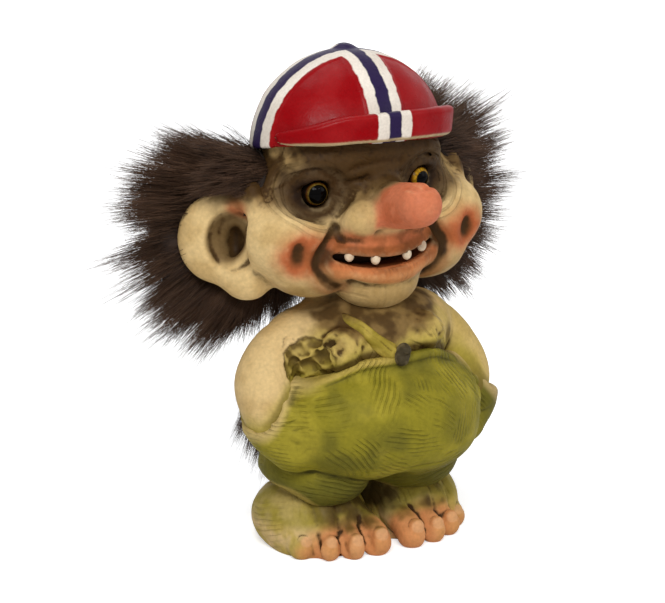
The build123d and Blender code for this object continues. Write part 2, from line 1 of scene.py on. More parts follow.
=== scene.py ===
"""Looks of a standing folk troll figure: a painted casting with glass eyes, a painted cap and faux fur."""
import math
from collections import namedtuple

import bpy
import numpy as np
from mathutils import Matrix, Vector


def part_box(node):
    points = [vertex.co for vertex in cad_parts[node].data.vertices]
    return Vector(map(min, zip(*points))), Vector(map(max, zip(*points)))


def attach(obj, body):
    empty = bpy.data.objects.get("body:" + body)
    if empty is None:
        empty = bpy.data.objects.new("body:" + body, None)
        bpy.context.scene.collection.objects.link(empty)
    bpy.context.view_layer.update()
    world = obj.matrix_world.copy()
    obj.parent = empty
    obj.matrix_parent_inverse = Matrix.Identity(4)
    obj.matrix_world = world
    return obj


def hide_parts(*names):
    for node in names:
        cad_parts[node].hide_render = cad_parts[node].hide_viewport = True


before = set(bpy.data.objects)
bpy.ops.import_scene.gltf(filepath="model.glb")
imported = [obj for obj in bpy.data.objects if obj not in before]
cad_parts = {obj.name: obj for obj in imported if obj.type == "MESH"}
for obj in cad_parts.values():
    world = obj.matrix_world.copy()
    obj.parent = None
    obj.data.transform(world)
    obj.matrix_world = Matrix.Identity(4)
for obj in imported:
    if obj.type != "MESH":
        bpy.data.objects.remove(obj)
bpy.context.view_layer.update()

# The sculpt's own frame is in millimetres, with its origin on the floor under the waist
MM = 0.001
BELLY_REACH = 31.5
origin_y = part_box("trousers")[0].y / MM + BELLY_REACH
origin = np.array((0, origin_y, 0))
LEFT, RIGHT = 1, -1
SIDES = (LEFT, RIGHT)


# Clay: a signed distance on a grid
Shape = namedtuple("Shape", "distance low high")
FAR = 30.0
TINY = 1e-4
CORNERS = np.array([(i, j, k) for i in (0, 1) for j in (0, 1) for k in (0, 1)])
CELL_EDGES = [(a, b) for a in range(8) for b in range(a + 1, 8) if np.abs(CORNERS[a] - CORNERS[b]).sum() == 1]


def turned(x=0, y=0, z=0):
    """Axes of a form turned by degrees about X, then Y, then Z of its own."""
    turn = np.eye(3)
    for angle, axis in ((x, "X"), (y, "Y"), (z, "Z")):
        turn = turn @ np.array(Matrix.Rotation(math.radians(angle), 3, axis))
    return turn


def egg(centre, half, axes=None):
    """An ellipsoid with its own half sizes."""
    centre = np.array(centre, float)
    half = np.array(half, float)
    reach = half if axes is None else np.sqrt(((axes * half) ** 2).sum(1))

    def distance(x, y, z):
        local = (x - centre[0], y - centre[1], z - centre[2])
        if axes is not None:
            local = [sum(axes[row][col] * local[row] for row in range(3)) for col in range(3)]
        near = np.sqrt(sum((local[i] / half[i]) ** 2 for i in range(3)))
        slope = np.sqrt(sum((local[i] / half[i] ** 2) ** 2 for i in range(3)))
        return np.maximum(near, TINY) * (near - 1) / np.maximum(slope, TINY / half.max())

    return Shape(distance, centre - reach, centre + reach)


def tube(points):
    """A round bar along points, each given as x, y, z and its radius."""
    points = np.array(points, float)

    def distance(x, y, z):
        best = FAR
        for first, last in zip(points[:-1], points[1:]):
            run = last[:3] - first[:3]
            away = (x - first[0], y - first[1], z - first[2])
            along = sum(away[i] * run[i] for i in range(3)) / max(run @ run, TINY)
            along = np.clip(along, 0, 1)
            gap = np.sqrt(sum((away[i] - along * run[i]) ** 2 for i in range(3)))
            best = np.minimum(best, gap - first[3] - along * (last[3] - first[3]))
        return best

    return Shape(distance, (points[:, :3] - points[:, 3:]).min(0), (points[:, :3] + points[:, 3:]).max(0))


def smooth_path(points, steps=6):
    """More points on a smooth curve through the given ones."""
    points = np.array(points, float)
    padded = np.vstack((2 * points[0] - points[1], points, 2 * points[-1] - points[-2]))
    result = []
    for p0, p1, p2, p3 in zip(padded, padded[1:], padded[2:], padded[3:]):
        for t in np.arange(steps) / steps:
            bend = 2 * p0 - 5 * p1 + 4 * p2 - p3 + t * (3 * (p1 - p2) + p3 - p0)
            result.append(p1 + 0.5 * t * (p2 - p0 + t * bend))
    return np.array(result + [points[-1]])


def curve(points):
    """A round bar along a smooth curve through points."""
    return tube(smooth_path(points))


def mirrored(points, side):
    """Points written for the figure's left, taken to that side."""
    points = np.array(points, float)
    points[..., 0] *= side
    return points


def smooth_min(a, b, blend):
    """The lower of two distances, with a rounded joint."""
    share = np.clip(0.5 + 0.5 * (b - a) / blend, 0, 1)
    return b + (a - b) * share - blend * share * (1 - share)


def smooth_max(a, b, blend):
    """The higher of two distances, with a rounded joint."""
    return -smooth_min(-a, -b, blend)


class Clay:
    """A block that forms are added to and carved from."""

    def __init__(self, low, high, step):
        self.low = np.array(low, float)
        self.step = step
        count = np.ceil((np.array(high) - self.low) / step).astype(int) + 1
        self.field = np.full(count, FAR, np.float32)

    def window(self, shape, margin):
        """The part of the grid round a shape, and its places."""
        first = np.floor((shape.low - margin - self.low) / self.step).astype(int)
        last = np.ceil((shape.high + margin - self.low) / self.step).astype(int) + 1
        first = np.clip(first, 0, self.field.shape)
        last = np.clip(last, 0, self.field.shape)
        spans = [np.arange(a, b) for a, b in zip(first, last)]
        axes = [(low + self.step * span).astype(np.float32) for low, span in zip(self.low, spans)]
        place = tuple(slice(a, b) for a, b in zip(first, last))
        return place, np.meshgrid(*axes, indexing="ij", sparse=True)

    def add(self, shape, blend=1.0):
        place, grid = self.window(shape, blend + 2 * self.step)
        self.field[place] = smooth_min(self.field[place], shape.distance(*grid), blend)

    def carve(self, shape, blend=1.0):
        place, grid = self.window(shape, blend + 2 * self.step)
        self.field[place] = smooth_max(self.field[place], -shape.distance(*grid), blend)

    def keep(self, distance, blend=0.4):
        """Keeps only what lies where the given distance is below nothing."""
        whole = Shape(distance, self.low, self.low + self.step * np.array(self.field.shape))
        place, grid = self.window(whole, 0)
        self.field[place] = smooth_max(self.field[place], distance(*grid), blend)

    def index(self, at, axis):
        return int(round((at - self.low[axis]) / self.step))

    def front(self, x, z):
        """How far back the surface is at a place seen from the front."""
        return self.low[1] + self.step * np.argmax(self.field[self.index(x, 0), :, self.index(z, 2)] < 0)

    def top(self, x, y):
        """How high the surface is at a place seen from above."""
        inside = np.flatnonzero(self.field[self.index(x, 0), self.index(y, 1)] < 0)
        return self.low[2] + self.step * np.max(inside, initial=0)

    def on_front(self, path, sink=0.0):
        """A bar along the front: places given as x, z and radius, sunk behind the surface."""
        return curve([(x, self.front(x, z) + sink, z, radius) for x, z, radius in path])

    def surface(self):
        """Points and four-sided faces of the surface."""
        inside = self.field < 0
        shape = np.array(self.field.shape) - 1

        def corner(array, offset):
            return array[tuple(slice(o, o + n) for o, n in zip(offset, shape))]

        count = sum(corner(inside, offset).astype(np.uint8) for offset in CORNERS)
        mixed = (count > 0) & (count < 8)
        cells = np.argwhere(mixed)
        number = np.full(mixed.shape, -1, np.int32)
        number[mixed] = np.arange(len(cells))
        values = np.stack([self.field[tuple((cells + offset).T)] for offset in CORNERS], 1)
        total = np.zeros((len(cells), 3))
        hits = np.zeros(len(cells))
        for a, b in CELL_EDGES:
            crossing = (values[:, a] < 0) != (values[:, b] < 0)
            drop = np.where(crossing, values[:, a] - values[:, b], 1)
            at = CORNERS[a] + (values[:, a] / drop)[:, None] * (CORNERS[b] - CORNERS[a])
            total += at * crossing[:, None]
            hits += crossing
        points = self.low + self.step * (cells + total / hits[:, None])
        faces = []
        for axis in range(3):
            u, v = np.eye(3, dtype=int)[[(axis + 1) % 3, (axis + 2) % 3]]
            below = np.take(inside, range(shape[axis]), axis)
            change = below != np.take(inside, range(1, shape[axis] + 1), axis)
            edges = np.argwhere(change)
            edges = edges[((edges - u - v) >= 0).all(1) & (edges < shape).all(1)]
            quads = np.stack([number[tuple((edges - back).T)] for back in (u + v, v, 0 * u, u)], 1)
            outward = below[tuple(edges.T)]
            quads[~outward] = quads[~outward][:, ::-1]
            faces.append(quads)
        return points, np.vstack(faces)


# Meshes
def relaxed(points, faces, rounds, share=0.5):
    """Points drawn towards the middle of their neighbours."""
    ends = np.hstack((faces.ravel(), np.roll(faces, -1, 1).ravel()))
    others = np.hstack((np.roll(faces, -1, 1).ravel(), faces.ravel()))
    count = np.bincount(ends, minlength=len(points))[:, None]
    for _ in range(rounds):
        sums = np.stack([np.bincount(ends, points[others, i], len(points)) for i in range(3)], 1)
        points = points + share * (sums / count - points)
    return points


def normals_of(points, faces):
    """The outward direction at each point."""
    across = np.cross(points[faces[:, 2]] - points[faces[:, 0]], points[faces[:, 3]] - points[faces[:, 1]])
    sums = np.zeros_like(points)
    for column in faces.T:
        for i in range(3):
            sums[:, i] += np.bincount(column, across[:, i], len(points))
    return sums / np.maximum(np.linalg.norm(sums, axis=1), 1e-9)[:, None]


def noise(points, size, seed=0):
    """Smooth random values from 0 to 1 with lumps of the given size."""
    at = points / size + 13.7 * seed
    cell = np.floor(at)
    part = at - cell
    part = part * part * (3 - 2 * part)
    result = 0
    for offset in CORNERS:
        corner = cell + offset
        value = np.sin(corner @ np.array((127.1, 311.7, 74.7)) + 19.19 * seed) * 43758.5453
        weight = np.where(offset, part, 1 - part).prod(1)
        result = result + weight * (value - np.floor(value))
    return result


def cloud(points, size, seed=0, layers=3):
    """Noise with finer noise on it, from 0 to 1."""
    total = sum(noise(points, size / 2**n, seed + n) / 2**n for n in range(layers))
    return total / sum(1 / 2**n for n in range(layers))


def ramp(value, low, high):
    """0 below low, 1 above high, smooth between."""
    part = np.clip((value - low) / (high - low), 0, 1)
    return part * part * (3 - 2 * part)


def fall(value, low, high):
    """1 below low, 0 above high, smooth between."""
    return ramp(-value, -high, -low)


def uneven(points, size, seed):
    """A cloud about nothing, from -0.5 to 0.5."""
    return cloud(points, size, seed) - 0.5


def spot(points, centre, reach):
    """1 at a centre, falling to 0 at its reach."""
    away = np.linalg.norm((points - np.array(centre)) / np.array(reach), axis=1)
    return 1 - ramp(away, 0, 1)


def patch(points, centre, reach, low, high):
    """A spot with a firmer edge."""
    return ramp(spot(points, centre, reach), low, high)


def line_mask(points, path, width):
    """1 on a path, falling to 0 at a width from it."""
    path = np.array(path, float)
    best = np.full(len(points), FAR)
    for first, last in zip(path[:-1], path[1:]):
        run = last - first
        along = np.clip((points - first) @ run / max(run @ run, TINY), 0, 1)
        best = np.minimum(best, np.linalg.norm(points - first - along[:, None] * run, axis=1))
    return 1 - ramp(best, 0, width)


def rgb(red, green, blue):
    """A colour as it looks on screen, made linear."""
    channels = np.array((red, green, blue)) / 255
    return np.where(channels <= 0.04045, channels / 12.92, ((channels + 0.055) / 1.055) ** 2.4)


class Paint:
    """The colours of a surface's points, laid over each other."""

    def __init__(self, points, base):
        self.colour = np.tile(base, (len(points), 1))

    def coat(self, over, mask):
        self.colour = self.colour + (over - self.colour) * np.asarray(mask)[:, None]


Skin = namedtuple("Skin", "points faces normals crease hollow")


def skin_of(clay, smoothing=1):
    """The clay's surface with what is needed to detail and paint it."""
    points, faces = clay.surface()
    return measured(relaxed(points, faces, smoothing, 0.4), faces)


def measured(points, faces):
    """A surface with its fine creases and wide hollows, from about -1 on ridges to 1 in dips."""
    normals = normals_of(points, faces)
    crease = ((relaxed(points, faces, 4) - points) * normals).sum(1) / 0.10
    hollow = ((relaxed(points, faces, 40) - points) * normals).sum(1) / 0.6
    return Skin(points, faces, normals, np.clip(crease, -1, 1), np.clip(hollow, -1, 1))


def dips(skin, fine, wide, most):
    """Dark wash and painted shade that stay in creases and hollows: for each its share, where it starts and
    where it is full.
    """
    held = fine[0] * ramp(skin.crease, *fine[1:]) + wide[0] * ramp(skin.hollow, *wide[1:])
    return np.clip(held, 0, most)


def hatching(points, patches, spacing, seed):
    """Fine lines in patches, each with its own direction: the phase and strength at each point."""
    away = np.stack([np.linalg.norm(points - np.array(place), axis=1) for place, _ in patches], 1)
    away = away + 5 * noise(points, 7, seed)[:, None] * np.linspace(-1, 1, len(patches))
    nearest = np.argmin(away, axis=1)
    across = np.array([turn for _, turn in patches])[nearest]
    ordered = np.sort(away, axis=1)
    inner = ramp(ordered[:, 1] - ordered[:, 0], 0.3, 3.0)
    swing = 9 * noise(points, 9, seed + 1) + 3 * noise(points, 3.5, seed + 2)
    phase = 2 * math.pi * (points * across).sum(1) / spacing + swing
    strength = inner * ramp(cloud(points, 6, seed + 3), 0.35, 0.7)
    return phase, strength


def line_layer(phase, strength):
    """The layer that fine lines are drawn from."""
    return (("lines", np.stack((phase, strength, 0 * phase), 1)),)


def raised(skin, height):
    """The surface moved out by a height at each point."""
    return measured(skin.points + skin.normals * height[:, None], skin.faces)


def new_object(name, data):
    obj = bpy.data.objects.new(name, data)
    bpy.context.scene.collection.objects.link(obj)
    return obj


def piece(name, skin, paint, material, body, replaced, layers=()):
    """A Blender object from a painted surface."""
    mesh = bpy.data.meshes.new(name)
    mesh.from_pydata(((skin.points + origin) * MM).tolist(), [], skin.faces.tolist())
    mesh.polygons.foreach_set("use_smooth", np.ones(len(mesh.polygons), bool))
    colours = mesh.attributes.new("paint", "FLOAT_COLOR", "POINT")
    rgba = np.ones((len(skin.points), 4), np.float32)
    rgba[:, :3] = np.clip(paint, 0, 1)
    colours.data.foreach_set("color", rgba.ravel())
    for layer, values in layers:
        held = mesh.attributes.new(layer, "FLOAT_VECTOR", "POINT")
        held.data.foreach_set("vector", np.asarray(values, np.float32).ravel())
    mesh.materials.append(material)
    obj = new_object(name, mesh)
    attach(obj, body)
    if replaced:
        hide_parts(*replaced)


# Materials
def new_material(name):
    material = bpy.data.materials.new(name)
    material.use_nodes = True
    tree = material.node_tree
    return material, tree, tree.nodes["Principled BSDF"]


def connect(tree, node, inputs):
    """A node's inputs, given as values or as sockets to link."""
    for key, value in inputs.items():
        if isinstance(value, bpy.types.NodeSocket):
            tree.links.new(value, node.inputs[key])
        else:
            node.inputs[key].default_value = value


def add_node(tree, kind, settings=(), inputs=()):
    node = tree.nodes.new(kind)
    for key, value in dict(settings).items():
        setattr(node, key, value)
    connect(tree, node, dict(inputs))
    return node


def stored(tree, name, output="Vector"):
    """A value that the surface's points hold."""
    return add_node(tree, "ShaderNodeAttribute", {"attribute_name": name}).outputs[output]


def parts_of(tree, vector):
    return add_node(tree, "ShaderNodeSeparateXYZ", inputs={"Vector": vector}).outputs


def maths(tree, operation, *values):
    return add_node(tree, "ShaderNodeMath", {"operation": operation}, dict(enumerate(values))).outputs[0]


def shaded(tree, colour, shade):
    """A colour made darker or lighter."""
    inputs = {0: colour, "Scale": shade}
    return add_node(tree, "ShaderNodeVectorMath", {"operation": "SCALE"}, inputs).outputs["Vector"]


def noise_node(tree, scale, detail=3.0):
    """Noise in the object's own metres."""
    place = add_node(tree, "ShaderNodeTexCoord").outputs["Object"]
    inputs = {"Vector": place, "Scale": scale, "Detail": detail}
    return add_node(tree, "ShaderNodeTexNoise", inputs=inputs).outputs["Fac"]


def range_node(tree, value, low, high, to_low, to_high):
    settings = {"From Min": low, "From Max": high, "To Min": to_low, "To Max": to_high, "Value": value}
    return add_node(tree, "ShaderNodeMapRange", inputs=settings).outputs["Result"]


def colour_mix(tree, factor, a, b):
    """Two colours mixed, each a socket or a linear colour."""
    a, b = (colour if isinstance(colour, bpy.types.NodeSocket) else (*colour, 1) for colour in (a, b))
    return add_node(tree, "ShaderNodeMix", {"data_type": "RGBA"}, {0: factor, 6: a, 7: b}).outputs[2]


def grained(tree, shader, colour, grain, gloss, specular, bump, mottle=0.12):
    """Mottled colour, uneven gloss and a fine tooth on a shader."""
    fine = noise_node(tree, grain, 4.0)
    shade = range_node(tree, fine, 0.25, 0.75, 1 - mottle, 1 + mottle)
    relief = add_node(tree, "ShaderNodeBump", inputs={"Height": fine, "Strength": 1.0, "Distance": bump})
    connect(tree, shader, {
        "Base Color": shaded(tree, colour, shade),
        "Roughness": range_node(tree, noise_node(tree, grain / 5), 0.3, 0.7, *gloss),
        "Specular IOR Level": specular,
        "Normal": relief.outputs["Normal"],
    })


# Fine grooves are bumped into the paint and darkened in them as painted shade
GROOVE_DEPTH = 0.00045
GROOVE_DARKNESS = 0.25


def painted_material(name, gloss, specular, groove):
    """Paint from the surface's own colours, with fine grooves where the surface has lines, darkened in them
    as painted shade.
    """
    material, tree, shader = new_material(name)
    lines = parts_of(tree, stored(tree, "lines"))
    deep = range_node(tree, maths(tree, "SINE", lines["X"]), 0.1, 1.0, 0, 1)
    deep = maths(tree, "MULTIPLY", deep, lines["Y"])
    darkness = range_node(tree, deep, 0, 1, 0, GROOVE_DARKNESS)
    paint = colour_mix(tree, darkness, stored(tree, "paint", "Color"), groove)
    grained(tree, shader, paint, 900.0, gloss, specular, 0.00008)
    fine = shader.inputs["Normal"].links[0].from_socket
    cut = {"Height": deep, "Strength": 1.0, "Distance": -GROOVE_DEPTH, "Normal": fine}
    connect(tree, shader, {"Normal": add_node(tree, "ShaderNodeBump", inputs=cut).outputs["Normal"]})
    return material


def plain_material(name, dark, light, gloss, grain, bump):
    """Two mottled tones for the small parts and CAD nodes."""
    material, tree, shader = new_material(name)
    blotch = noise_node(tree, grain / 3)
    colour = colour_mix(tree, range_node(tree, blotch, 0.35, 0.65, 0, 1), dark, light)
    grained(tree, shader, colour, grain, gloss, 0.4, bump)
    return material


# Colours
CREAM = rgb(210, 180, 126)
# colour of the painted highlight on ridges
RIDGE_HIGHLIGHT = rgb(228, 202, 152)
TAN = rgb(186, 154, 100)
JOWL = rgb(150, 120, 70)
SOCKET = rgb(84, 66, 44)
# a dark wash that also serves as painted shade in creases, hollows and under parts
WASH_AND_SHADE = rgb(58, 38, 16)
BLACKISH = rgb(30, 17, 8)
BROWN = rgb(112, 86, 50)
BLUSH = rgb(176, 86, 48)
NOSE_PINK = rgb(194, 112, 78)
LIP = rgb(188, 114, 66)
LIP_DARK = rgb(140, 80, 42)
MOUTH_BROWN = rgb(104, 54, 26)
GREEN = rgb(132, 122, 34)
GREEN_LIGHT = rgb(158, 144, 46)
GREEN_DARK = rgb(84, 80, 30)
GREEN_SHADE = rgb(44, 40, 10)
OLIVE_SKIN = rgb(178, 154, 78)
OLIVE_DARK = rgb(86, 66, 20)
TOE = rgb(204, 136, 86)
NAIL = rgb(216, 164, 118)
CAP_RED = rgb(134, 0, 6)
CAP_RED_LIGHT = rgb(150, 24, 26)
CAP_WHITE = rgb(226, 217, 204)
CAP_WORN = rgb(190, 176, 160)
CAP_BLUE = rgb(38, 26, 62)
CAP_UNDER = rgb(206, 184, 140)

skin_material = painted_material("skin_paint", gloss=(0.42, 0.62), specular=0.07, groove=WASH_AND_SHADE)
green_material = painted_material("trouser_paint", gloss=(0.45, 0.65), specular=0.06, groove=GREEN_SHADE)


# Head
CAP_CENTRE = np.array((0, 9, 118.5))
CAP_AXES = turned(x=-11, y=4)
CAP_HALF = np.array((30.5, 22.0, 27.0))
CAP_WALL = 2.4
CAP_SEAT = 0.3
EYES = {LEFT: np.array((15.5, -2.87, 108.1)), RIGHT: np.array((-18.8, -1.97, 108.1))}
EYE_RADIUS = 4.0
EYE_TURN = 10
EAR = np.array((40.5, 13.9, 94.0))
EAR_SWEEP = 33
EAR_TURN = math.radians(EAR_SWEEP)
EAR_OUT = np.array((math.cos(EAR_TURN), math.sin(EAR_TURN), 0))
EAR_FORWARD = np.array((math.sin(EAR_TURN), -math.cos(EAR_TURN), 0))
MOUTH_Z = 88.2
MOUTH_MIDDLE = -1.5
MOUTH_HALF = 17.3
LIP_REACH = 20.0
MOUTH_RISE = 0.0095
MOUTH_BACK = -8.0
MOUTH_GAP = 1.5
FOLDS = {
    LEFT: ((15.6, 98.8, 0.6), (16.4, 97.6, 1.1), (17.6, 95.6, 1.6), (18.8, 92.8, 2.0),
           (20.0, 90.0, 2.2), (18.9, 86.8, 1.9), (16.8, 83.4, 1.4), (14.4, 81.2, 0.7)),
    RIGHT: ((-15.8, 98.8, 0.5), (-17.6, 97.2, 1.0), (-20.2, 95.0, 1.4), (-22.8, 92.2, 1.8),
            (-24.0, 89.2, 2.1), (-22.8, 86.0, 1.9), (-19.6, 83.0, 1.4), (-16.0, 81.2, 0.7)),
}
FOLD_SHARE = 0.75
DIMPLE_X = 29.3
DIMPLE_Z = 92.9
UPPER_LID = ((-5.6, 0.8, -1.0, 0.9), (-3.6, 1.9, 3.0, 1.2), (0, 2.4, 4.9, 1.4), (4.0, 1.6, 3.9, 1.3),
             (7.2, -0.4, 1.0, 1.0), (10.2, -2.4, -1.2, 0.6))
LOWER_LID = ((-5.6, 0.8, -1.4, 0.8), (-3.2, 1.8, -4.1, 1.0), (1.0, 2.0, -4.9, 1.1), (5.0, 0.8, -3.9, 1.0),
             (8.2, -1.2, -2.2, 0.6))
LID_CREASE = ((-1.0, 3.0, 7.4, 0.3), (0.8, 3.0, 7.6, 0.5), (5.4, 1.4, 6.0, 0.5), (10.0, -1.6, 2.2, 0.3))
EYE_BAG = ((-4.6, 2.2, -7.2, 0.4), (-2.0, 2.2, -8.2, 0.6), (1.8, 2.0, -8.5, 0.7), (6.4, 0.6, -7.2, 0.7),
           (11.0, -2.0, -3.6, 0.4))
EAR_RIDGE = ((1.6, 6.8, 0.2, 0.9), (2.8, 2.6, -0.8, 1.4), (2.2, -2.4, -0.8, 1.5), (-0.2, -6.2, 0.4, 1.3))
BOWL_EDGE = ((-8.6, 0.5, 1.6, 1.2), (-7.8, -3.8, 1.8, 1.7), (-4.6, -7.4, 1.6, 1.7), (-1.0, -8.2, 1.2, 1.1))
FACE_PATCHES = (
    ((-10, -6, 114), (0.3, 0, 1)), ((10, -6, 114), (-0.2, 0, 1)), ((0, -10, 109), (1, 0, 0.3)),
    ((-24, -4, 112), (0.6, 0, 0.8)), ((24, -4, 112), (-0.6, 0, 0.8)), ((-14, -10, 80), (0.5, 0, 0.9)),
    ((14, -10, 80), (-0.5, 0, 0.9)), ((0, -14, 78), (1, 0, 0.2)),
)


def mouth_middle(x):
    return MOUTH_Z + MOUTH_RISE * (x - MOUTH_MIDDLE) ** 2


def mouth_half(x):
    return MOUTH_GAP * np.sqrt(np.clip(1 - ((x - MOUTH_MIDDLE) / MOUTH_HALF) ** 4, 0, 1))


def lip_front(x):
    """How far forward the lips are at x."""
    return -4 - 13.5 * np.sqrt(np.clip(1 - ((x - MOUTH_MIDDLE) / LIP_REACH) ** 2, 0.05, 1))


def eye_point(side, out, forward, up):
    """A place by an eye: outwards from the nose, forward along its look, and up."""
    turn = math.radians(EYE_TURN)
    outward = np.array((math.cos(turn), math.sin(turn), 0))
    looking = np.array((math.sin(turn), -math.cos(turn), 0))
    return EYES[side] + mirrored(out * outward + forward * looking + np.array((0, 0, up)), side)


def ear_point(side, out, up, front):
    """A place on the ear: outwards from the head, up, and forward out of its bowl."""
    return mirrored(EAR + out * EAR_OUT + front * EAR_FORWARD + np.array((0, 0, up)), side)


def bar(point, side, path):
    """A round bar through places by an eye or ear, each with its radius."""
    return curve([(*point(side, *at[:3]), at[3]) for at in path])


def head_clay():
    clay = Clay((-60, -39, 64), (60, 34, 147), 0.52)
    clay.add(egg(CAP_CENTRE, CAP_HALF - CAP_WALL - CAP_SEAT, CAP_AXES))
    clay.add(egg((0, 8, 99.5), (36, 16.5, 24)), 4)
    clay.add(egg((0, 10, 92), (30, 17, 19)), 3)
    for side in SIDES:
        clay.add(egg((side * 25.5, 1.5, 95), (14.5, 13.5, 12.5)), 4)
        clay.add(egg((side * 19.0, 0.0, 86.5), (13.5, 13.5, 9.5)), 3)
        clay.add(egg((side * 14.0, 0.5, 115.5), (11.0, 9.0, 5.0)), 4)
    clay.add(egg((0, -3.5, 89), (18.5, 13.5, 13.5)), 1.5)
    clay.add(egg((0, -6.0, 79.5), (12.5, 10.5, 7.6)), 3)
    add_nose(clay)
    for side in SIDES:
        clay.carve(clay.on_front([(x, z, FOLD_SHARE * radius) for x, z, radius in FOLDS[side]], 0.3), 2.8)
        dimple = (side * DIMPLE_X, clay.front(side * DIMPLE_X, DIMPLE_Z), DIMPLE_Z)
        clay.carve(egg(dimple, (1.9, 2.0, 3.0)), 4)
    add_mouth(clay)
    for side in SIDES:
        add_eye(clay, side)
        add_ear(clay, side)
    for height, bend in ((113.0, 0.020), (116.5, 0.014)):
        wrinkle = [(x, height - bend * x**2, 0.55) for x in np.linspace(-11, 6, 7)]
        clay.carve(clay.on_front(wrinkle, -0.2), 1.4)
    clay.add(tube([(0, 8, 60, 12.5), (0, 8, 90, 12.5)]), 1)
    return clay


def add_nose(clay):
    clay.add(tube([(0, -3, 110.5, 4.4), (0, -8, 107.0, 4.6)]), 5)
    nose = [(0, -3, 103.6, 7.2), (0, -12, 103.9, 7.0), (0, -20, 105.3, 6.7), (0, -28.3, 107.3, 6.5)]
    clay.add(curve(nose), 4)
    for side in SIDES:
        clay.add(egg((side * 9.4, -11.0, 101.0), (5.6, 6.2, 5.3)), 4.0)
        clay.carve(egg((side * 5.4, -16.2, 97.0), (1.4, 1.6, 0.9)), 1.0)


def add_mouth(clay):
    xs = MOUTH_MIDDLE + np.linspace(-16, 16, 21)
    lower = [(x, lip_front(x) + 1.2, mouth_middle(x) - mouth_half(x) - 2.3, 2.3 - 0.05 * abs(x)) for x in xs]
    upper = [(x, lip_front(x) + 2.3, mouth_middle(x) + mouth_half(x) + 1.3, 1.4 - 0.03 * abs(x)) for x in xs]
    clay.add(tube(lower), 2.6)
    clay.add(tube(upper), 3.0)

    def opening(x, y, z):
        tall = np.abs(z - mouth_middle(x)) - mouth_half(x) - 0.1
        return np.maximum(np.maximum(tall, np.abs(x - MOUTH_MIDDLE) - MOUTH_HALF), y - MOUTH_BACK)

    low = np.array((MOUTH_MIDDLE - MOUTH_HALF, -40.0, MOUTH_Z - 3))
    high = np.array((MOUTH_MIDDLE + MOUTH_HALF, MOUTH_BACK, MOUTH_Z + 8))
    clay.carve(Shape(opening, low, high), 0.7)


def add_eye(clay, side):
    clay.carve(egg(eye_point(side, 0.5, 5.2, 0.2), (10.0, 3.8, 8.0), turned(z=side * EYE_TURN)), 3)
    clay.add(bar(eye_point, side, UPPER_LID), 0.9)
    clay.add(bar(eye_point, side, LOWER_LID), 0.9)
    clay.carve(bar(eye_point, side, LID_CREASE), 0.9)
    clay.carve(bar(eye_point, side, EYE_BAG), 1.2)
    ball = EYE_RADIUS + 0.12
    clay.carve(tube([(*eye_point(side, 0, -2, 0), ball), (*eye_point(side, 0, 9, 0), ball)]), 0.4)


def add_ear(clay, side):
    axes = turned(z=side * EAR_SWEEP)
    clay.add(egg(mirrored(EAR, side), (12.6, 5.0, 13.7), axes), 2)
    clay.add(egg(ear_point(side, -7.4, -10.6, 0.8), (7.8, 5.0, 7.8), axes), 3)
    clay.add(egg(ear_point(side, -8.5, 0, -1), (6, 5.5, 11), axes), 3)
    clay.add(egg((side * 34.8, 9.0, 105.5), (3.6, 7.0, 6.5)), 3)
    clay.carve(egg(ear_point(side, -3.0, 0.4, 4.6), (7.4, 5.6, 9.4), axes), 1.8)
    clay.add(bar(ear_point, side, EAR_RIDGE), 1.4)
    clay.carve(egg(ear_point(side, -4.0, -1.2, 0.2), (2.9, 4.0, 5.0), axes), 1.2)
    clay.add(bar(ear_point, side, BOWL_EDGE), 2.4)


def cracks(points, size, seed):
    """Thin wandering lines, 1 on a line."""
    return ramp(1 - np.abs(2 * cloud(points, size, seed) - 1), 0.9, 1.0)


def on_skin(points, x, z):
    """The foremost place of a surface near x and z."""
    near = np.hypot(points[:, 0] - x, points[:, 2] - z) < 0.8
    return np.array((x, points[near, 1].min(), z))


def smooth_nose(points):
    """1 on the nose and its wings, where the paint is smooth."""
    _, y, z = points.T
    wings = sum(spot(points, (side * 9.4, -14, 101.4), (6.8, 8.5, 6.8)) for side in SIDES)
    lip = patch(points, (MOUTH_MIDDLE, -17, 94.5), (15, 8, 5), 0.1, 0.5)
    body = ramp(-y, 12, 15) * ramp(z, 96.5, 99)
    return np.clip(body + ramp(wings, 0.1, 0.5) + lip, 0, 1)


def forehead_cracks(points):
    """Fine cracks on the forehead only."""
    return cracks(points, 6, 33) * ramp(points[:, 2], 104, 108) * ramp(points[:, 1], -11, -8)


def pink_nose(points):
    """1 on the pink end of the nose."""
    x, y, z = points.T
    pink = ramp(-y - 0.35 * (z - 103) + 5 * uneven(points, 4, 38), 10.5, 17) * ramp(z, 97.0, 100.0)
    return pink * np.maximum(1 - ramp(np.abs(x), 6.5, 9.5), ramp(-y, 16, 20))


